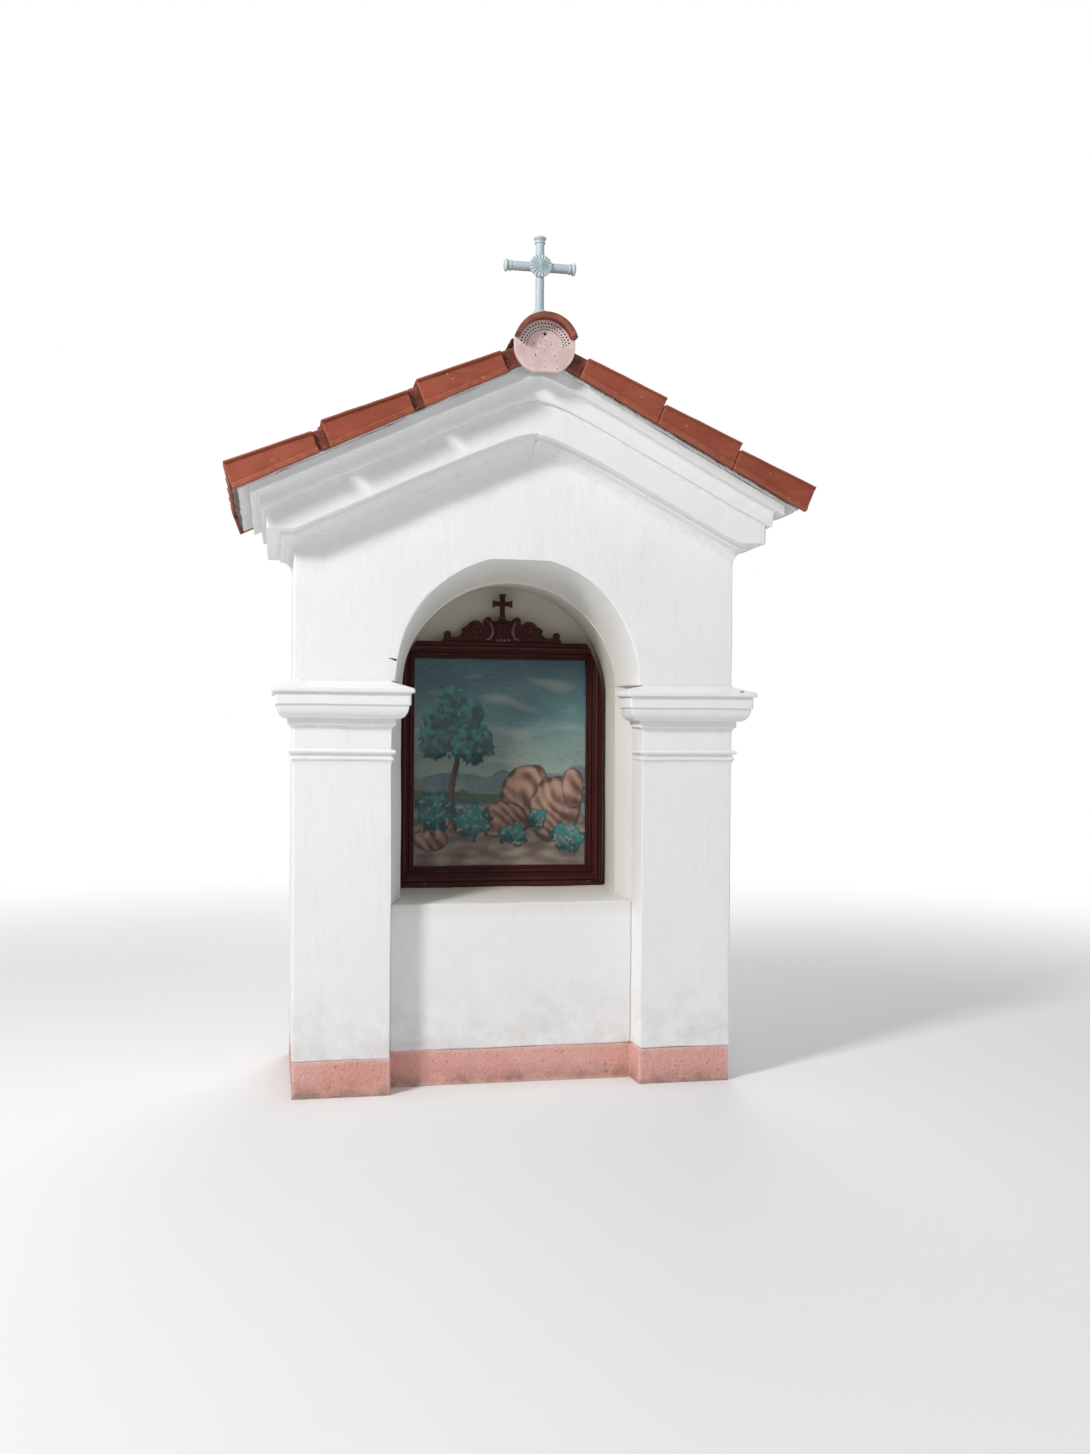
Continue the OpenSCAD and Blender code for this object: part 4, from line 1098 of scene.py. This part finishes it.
def pictureFrame():
    s = frameSet
    bm = bmesh.new()
    first = []
    for sx, top in ((-1, False), (1, False), (1, True), (-1, True)):
        x, z = cornerOf(0.0, sx, top)
        first.append(bm.verts.new((x, s["front"] + mouldSteps[0][1], z)))
    edges = opening = [bm.edges.new((first[i - 1], first[i])) for i in range(4)]
    for share, depth in mouldSteps[1:]:
        ring, edges = nextRing(bm, edges)
        for v in ring:
            v.co.x, v.co.z = cornerOf(share, math.copysign(1, v.co.x), v.co.z > 1.1)
            v.co.y = s["front"] + depth
    bmesh.ops.bridge_loops(bm, edges=opening + edges)
    piece = asPiece("picture_frame", bm)

    # a disc and a block under it: what of the moulding lies outside both is cut away
    disc, block = bmesh.new(), bmesh.new()
    bmesh.ops.create_cone(disc, cap_ends=True, segments=192, radius1=s["cut"], radius2=s["cut"], depth=0.07,
                          matrix=facingFront(0, s["front"] + 0.02, s["cutZ"]))
    tall = s["cutZ"] - s["low"] + 0.02
    middle = Matrix.Translation((0, s["front"] + 0.02, s["cutZ"] - tall / 2))
    bmesh.ops.create_cube(block, size=1, matrix=middle @ Matrix.Diagonal((2 * s["half"] + 0.01, 0.09, tall, 1)))
    boolean(piece, boolean(asPiece("mask", disc), asPiece("block", block), "UNION"), "INTERSECT")
    roundEdges(cleaned(piece, 0.2), s["round"], sharp=35, share=0.28)
    roughened(piece, s["cell"], s["waves"], s["seed"])
    marked(piece, "grainAlongX", lambda v: max(v.co.z - s["sightHigh"], s["sightLow"] - v.co.z)
           > abs(v.co.x) - s["sight"])
    smoothShaded(markEdges(piece))
    screws = [turned(screwHead, (x, s["front"] + 0.0004, s["low"] + 0.0155), (0, -1, 0), 16) for x in s["screws"]]
    piece = joined("picture_frame", [piece] + rubbed(screws))
    return finished(piece, "frame_paint", "frame_stiles", "frame_rails", grow=0.001)


print("picture frame:", len(pictureFrame().data.polygons), "faces")

crestSet = {"base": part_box("crest_board")[0].z, "face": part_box("crest_board")[0].y, "round": 0.0045,
            "cell": 0.02, "waves": [(0.05, 0.0005)], "seed": 51.0, "crossRound": 0.0035,
            "shieldTop": 0.037, "shieldWaist": 0.029, "shieldFoot": 0.045, "folds": 5}


# a raised line of carving: a round bead that follows points and thins out to its ends
def carvedLine(points, thick, flat):
    curve = bpy.data.curves.new("line", "CURVE")
    curve.dimensions = "3D"
    curve.bevel_depth = 1.0
    curve.bevel_resolution = 3
    curve.use_fill_caps = True
    spline = curve.splines.new("POLY")
    spline.points.add(len(points) - 1)
    for i, (point, (x, z)) in enumerate(zip(spline.points, points)):
        point.co = (x, 0, z, 1)
        share = clamped(i / (len(points) - 1) * 0.92 + 0.04)
        point.radius = thick * (0.35 + 0.65 * math.sin(math.pi * share))
    obj = linked("line", curve)
    mesh = bpy.data.meshes.new_from_object(obj.evaluated_get(bpy.context.evaluated_depsgraph_get()))
    bpy.data.objects.remove(obj)
    bm = bmesh.new()
    bm.from_mesh(mesh)
    bmesh.ops.remove_doubles(bm, verts=bm.verts, dist=1e-5)
    for v in bm.verts:
        v.co.y = v.co.y * flat + crestSet["face"]
    bpy.data.meshes.remove(mesh)
    return asPiece("line", bm)


def spiral(cx, cz, r0, r1, a0, a1, count):
    points = []
    for i in range(count):
        t = i / (count - 1)
        r, angle = r0 + (r1 - r0) * t, math.radians(a0 + (a1 - a0) * t)
        points.append((cx + r * math.cos(angle), cz + r * math.sin(angle)))
    return points


def beadOf(x, z, r, lift=0.0):
    bm = bmesh.new()
    bmesh.ops.create_uvsphere(bm, u_segments=14, v_segments=8, radius=r,
                              matrix=Matrix.Translation((x, crestSet["face"] - lift, z)))
    return asPiece("bead", bm)


# waisted like a draped cloth: upright folds in front, a flat back
def crestShield():
    low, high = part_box("crest_cartouche")
    s = crestSet
    top, waist, foot = s["shieldTop"], s["shieldWaist"], s["shieldFoot"]
    bm = bmesh.new()
    bmesh.ops.create_grid(bm, x_segments=42, y_segments=14, size=0.5)
    for v in bm.verts:
        u, w = 2 * v.co.x, v.co.y + 0.5
        half = waist + (top - waist) * max(0, (w - 0.45) / 0.55) ** 1.5 \
            + (foot - waist) * max(0, (0.45 - w) / 0.45) ** 1.6
        fold = 0.5 - 0.5 * math.cos(math.pi * s["folds"] * (u + 1))
        deep = 0.0004 + 0.0045 * u * u + 0.0042 * fold * (0.35 + 0.65 * (1 - w)) + 0.003 * (w > 0.9) * (w - 0.9) / 0.1
        sag = 0.004 * math.cos(math.pi * u / 2) * (1 - w) - 0.0035 * (1 - u * u) * w
        v.co = (u * half, low.y + deep, low.z + (high.z - low.z) * w + sag - 0.002 * (1 - w))
    for v in otherSide(bm):
        v.co.y = high.y
    return dressed(asPiece("crest_shield", bm), "frame_paint", "crest_cartouche")


# the tall bracket that hugs the shield, between a curled head and a curled foot
crestBracket = [(0.052, 0.078), (0.047, 0.070), (0.042, 0.060), (0.039, 0.048), (0.039, 0.036), (0.042, 0.025),
                (0.047, 0.016), (0.055, 0.010), (0.063, 0.009)]
# its curls, the long scroll over the hump, the leaf that runs out of it and the curl at the end
crestLines = [(spiral(0.059, 0.081, 0.0135, 0.003, 200, -200, 26), 0.0046),
              (spiral(0.066, 0.047, 0.022, 0.024, 118, 236, 18), 0.0040),
              (spiral(0.106, 0.041, 0.036, 0.030, 165, 30, 26), 0.0050),
              (spiral(0.106, 0.045, 0.020, 0.005, 200, -160, 30), 0.0044),
              ([(0.078, 0.012), (0.094, 0.017), (0.112, 0.016), (0.130, 0.020), (0.146, 0.030), (0.158, 0.043)],
               0.0050),
              ([(0.122, 0.030), (0.134, 0.037), (0.144, 0.048), (0.149, 0.056)], 0.0040),
              ([(0.140, 0.012), (0.155, 0.013), (0.172, 0.012), (0.190, 0.010)], 0.0042),
              (spiral(0.214, 0.021, 0.0125, 0.003, 215, -150, 26), 0.0040)]
crestBeads = [(0.106, 0.045, 0.0056), (0.059, 0.081, 0.0046), (0.214, 0.021, 0.0046)]    # x, height, radius


def crestCarving():
    s = crestSet
    base = s["base"]
    parts, worn = [], []
    for sx in (-1, 1):
        worn.append(carvedLine([(sx * x, base + z) for x, z in crestBracket], 0.0058, 1.0))
        parts += [carvedLine([(sx * x, base + z) for x, z in points], thick, 0.85) for points, thick in crestLines]
        parts += [beadOf(sx * x, base + z, r) for x, z, r in crestBeads]
    worn += [beadOf(x, base + 0.0062, 0.0052, 0.006) for x in (-0.021, -0.007, 0.007, 0.021)]
    board = cleaned(nodeCopy("crest_board", "crestBoardCopy"), 1)
    roundEdges(board, s["round"], 3, sharp=40, share=0.4)
    roughened(board, s["cell"], s["waves"], s["seed"])
    dressed(joined("crest_carving", [board] + parts + rubbed(worn)), "frame_paint", "crest_board", grow=0.008)
    crestShield()
    cross = cleaned(nodeCopy("crest_cross", "crest_small_cross"), 1)
    dressed(roundEdges(cross, s["crossRound"], 3, sharp=25, share=0.45), "frame_paint", "crest_cross")


crestCarving()
print("crest ready")

# the picture: an open landscape in teal, grey-green and brown, painted point by point
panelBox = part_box("picture_panel")
# tone darkens every colour of the picture: painted shade of the niche
pictureSet = {"cells": (190, 224), "tone": 0.72, "lap": 0.045, "front": panelBox[0].y, "back": panelBox[1].y,
              "cornerRadius": railBox[1].x - 0.002,
              "skyTop": (0.018, 0.085, 0.125), "skyMiddle": (0.10, 0.20, 0.21), "skyLow": (0.30, 0.33, 0.29),
              "cloud": (0.40, 0.42, 0.38), "farHill": (0.085, 0.14, 0.18), "nearHill": (0.06, 0.100, 0.100),
              "ground": (0.150, 0.095, 0.078), "path": (0.38, 0.28, 0.22), "water": (0.22, 0.30, 0.31),
              "trunk": (0.055, 0.022, 0.017), "bark": (0.16, 0.08, 0.06), "leaf": (0.006, 0.048, 0.058),
              "leafLight": (0.040, 0.24, 0.23), "rock": (0.46, 0.25, 0.185), "rockDark": (0.085, 0.032, 0.028),
              "blossom": (0.42, 0.13, 0.10), "petal": (0.45, 0.30, 0.26), "reed": (0.10, 0.13, 0.06)}
# middle across and up, then the radius or the two half widths, all as shares of the picture
treeCrowns = [(0.24, 0.66, 0.15), (0.13, 0.60, 0.11), (0.34, 0.60, 0.12), (0.22, 0.78, 0.10), (0.33, 0.73, 0.08),
              (0.12, 0.71, 0.07)]
rocks = [(0.66, 0.34, 0.15, 0.15), (0.82, 0.27, 0.15, 0.17), (0.52, 0.22, 0.14, 0.09), (0.93, 0.38, 0.07, 0.10),
         (0.10, 0.13, 0.10, 0.06)]
bushes = [(0.13, 0.26, 0.11, 0.10), (0.34, 0.21, 0.11, 0.08), (0.90, 0.13, 0.11, 0.07), (0.58, 0.15, 0.09, 0.055),
          (0.72, 0.22, 0.06, 0.05)]


# a towards b, each a colour or a colour's name
def mixed(a, b, share):
    a, b = (pictureSet[c] if isinstance(c, str) else c for c in (a, b))
    share = clamped(share)
    return [p + (q - p) * share for p, q in zip(a, b)]


def wave(x, z, size, seed):
    return noise.noise(Vector((x * size + seed, z * size - seed, seed)))


def paintAt(u, w):
    ragged = 0.012 * wave(u, w, 16, 3) + 0.006 * wave(u, w, 45, 9)
    colour = mixed("skyMiddle", "skyTop", (w - 0.72) / 0.26 + 0.5 * wave(u, w * 2.5, 3, 1))
    colour = mixed(colour, "skyLow", (0.74 - w) / 0.34 + 0.25 * wave(u, w * 3, 4, 2))
    if w > 0.5:
        colour = mixed(colour, "cloud", 1.5 * (wave(u * 0.8, w * 2.6, 5, 14) - 0.16))
    far = 0.425 + 0.10 * abs(wave(u, 0, 2.4, 6)) + 0.035 * wave(u, 0, 9, 5) + 0.10 * max(0, u - 0.62)
    if w < far + ragged * 0.5:
        colour = mixed("farHill", "skyLow", 0.55 - (w - 0.3) * 2.2 + 0.4 * wave(u, w, 14, 7))
    near = 0.345 + 0.05 * wave(u, 0, 3.1, 11) + 0.06 * max(0, 0.45 - u)
    if w < near + ragged:
        colour = mixed("nearHill", "reed", 0.5 + 1.2 * wave(u, w, 18, 12))
    if w < 0.30 + ragged * 0.3:
        colour = mixed("water", "farHill", 0.45 + 0.9 * wave(u * 0.5, w * 6, 8, 13))
    shore = 0.215 + 0.05 * wave(u, 0, 3.7, 17) + 0.05 * abs(u - 0.5)
    if w < shore + ragged:
        colour = mixed("ground", "path", 0.28 + 1.1 * wave(u, w * 3, 9, 19) + 0.5 * (0.2 - w))
    if abs(u - 0.235 - 0.02 * math.sin(w * 14)) < 0.022 * (1.25 - w) and 0.17 < w < 0.66:
        colour = mixed("trunk", "bark", 0.2 + 2.2 * (0.235 - u) * 12)
    for cx, cz, r in treeCrowns:
        away = math.hypot(u - cx, (w - cz) * 1.15) / r + 0.32 * wave(u, w, 21, 23) + 0.2 * wave(u, w, 60, 29)
        if away < 1:
            light = 0.30 + (w - cz) / r * 0.5 - (u - cx) / r * 0.35 + 0.9 * wave(u, w, 30, 31)
            colour = mixed("leaf", "leafLight", light + 0.5 * wave(u, w, 75, 33))
    for cx, cz, rx, rz in rocks:
        away = math.hypot((u - cx) / rx, (w - cz) / rz) + 0.16 * wave(u, w, 9, 37)
        if away < 1:
            fold = 0.5 + (w - cz) / rz * 0.35 - (u - cx) / rx * 0.3 + 0.5 * wave(u * 1.6, w, 15, 41)
            fold += 0.34 * math.sin(95 * (w + 0.7 * (u - cx)) + 9 * wave(u, w, 5, 61))
            colour = mixed("rockDark", "rock", fold - 1.2 * max(0, away - 0.86) / 0.14)
    for cx, cz, rx, rz in bushes:
        away = math.hypot((u - cx) / rx, (w - cz) / rz) + 0.4 * wave(u, w, 24, 43)
        if away < 1:
            blade = math.sin(60 * (u - cx) + 5 * math.atan2(w - cz + rz, u - cx) + 3 * wave(u, w, 12, 67))
            light = 0.4 + (w - cz) / rz * 0.4 + 0.35 * blade + 0.4 * wave(u, w, 50, 47)
            colour = mixed("leaf", "leafLight", light)
            if wave(u, w, 60, 53) > 0.30:
                colour = mixed("blossom", "petal", 0.4 + wave(u, w, 90, 59))
            if away > 0.9:
                colour = mixed(colour, "leaf", 0.8)
    # painted shade: every colour darkened by tone
    return [c * pictureSet["tone"] for c in colour]


def paintedPicture():
    s, f = pictureSet, frameSet
    half, low, high = f["sight"] + s["lap"], f["sightLow"] - s["lap"], f["sightHigh"] + s["lap"]
    bm = bmesh.new()
    bmesh.ops.create_grid(bm, x_segments=s["cells"][0], y_segments=s["cells"][1], size=0.5)
    paint = bm.verts.layers.float_color.new("paint")
    for v in bm.verts:
        x, z = v.co.x * 2 * half, low + (high - low) * (v.co.y + 0.5)
        reach = math.hypot(x, z - f["cutZ"])
        if z > f["cutZ"] and reach > s["cornerRadius"]:
            x *= s["cornerRadius"] / reach
            z = f["cutZ"] + (z - f["cutZ"]) * s["cornerRadius"] / reach
        v.co = (x, s["front"], z)
        u = (v.co.x + f["sight"]) / (2 * f["sight"])
        w = (v.co.z - f["sightLow"]) / (f["sightHigh"] - f["sightLow"])
        v[paint] = (*paintAt(clamped(u), clamped(w)), 1)
    for v in nextRing(bm, [e for e in bm.edges if e.is_boundary])[0]:
        v.co.y = s["back"]
    bmesh.ops.holes_fill(bm, edges=[e for e in bm.edges if e.is_boundary], sides=0)
    return finished(asPiece("painted_picture", bm), "painted_panel", "picture_panel")


print("picture:", len(paintedPicture().data.polygons), "faces")

pane = nodes["picture_glass"]
pane.data.materials.clear()
pane.data.materials.append(looks["clear_glass"])
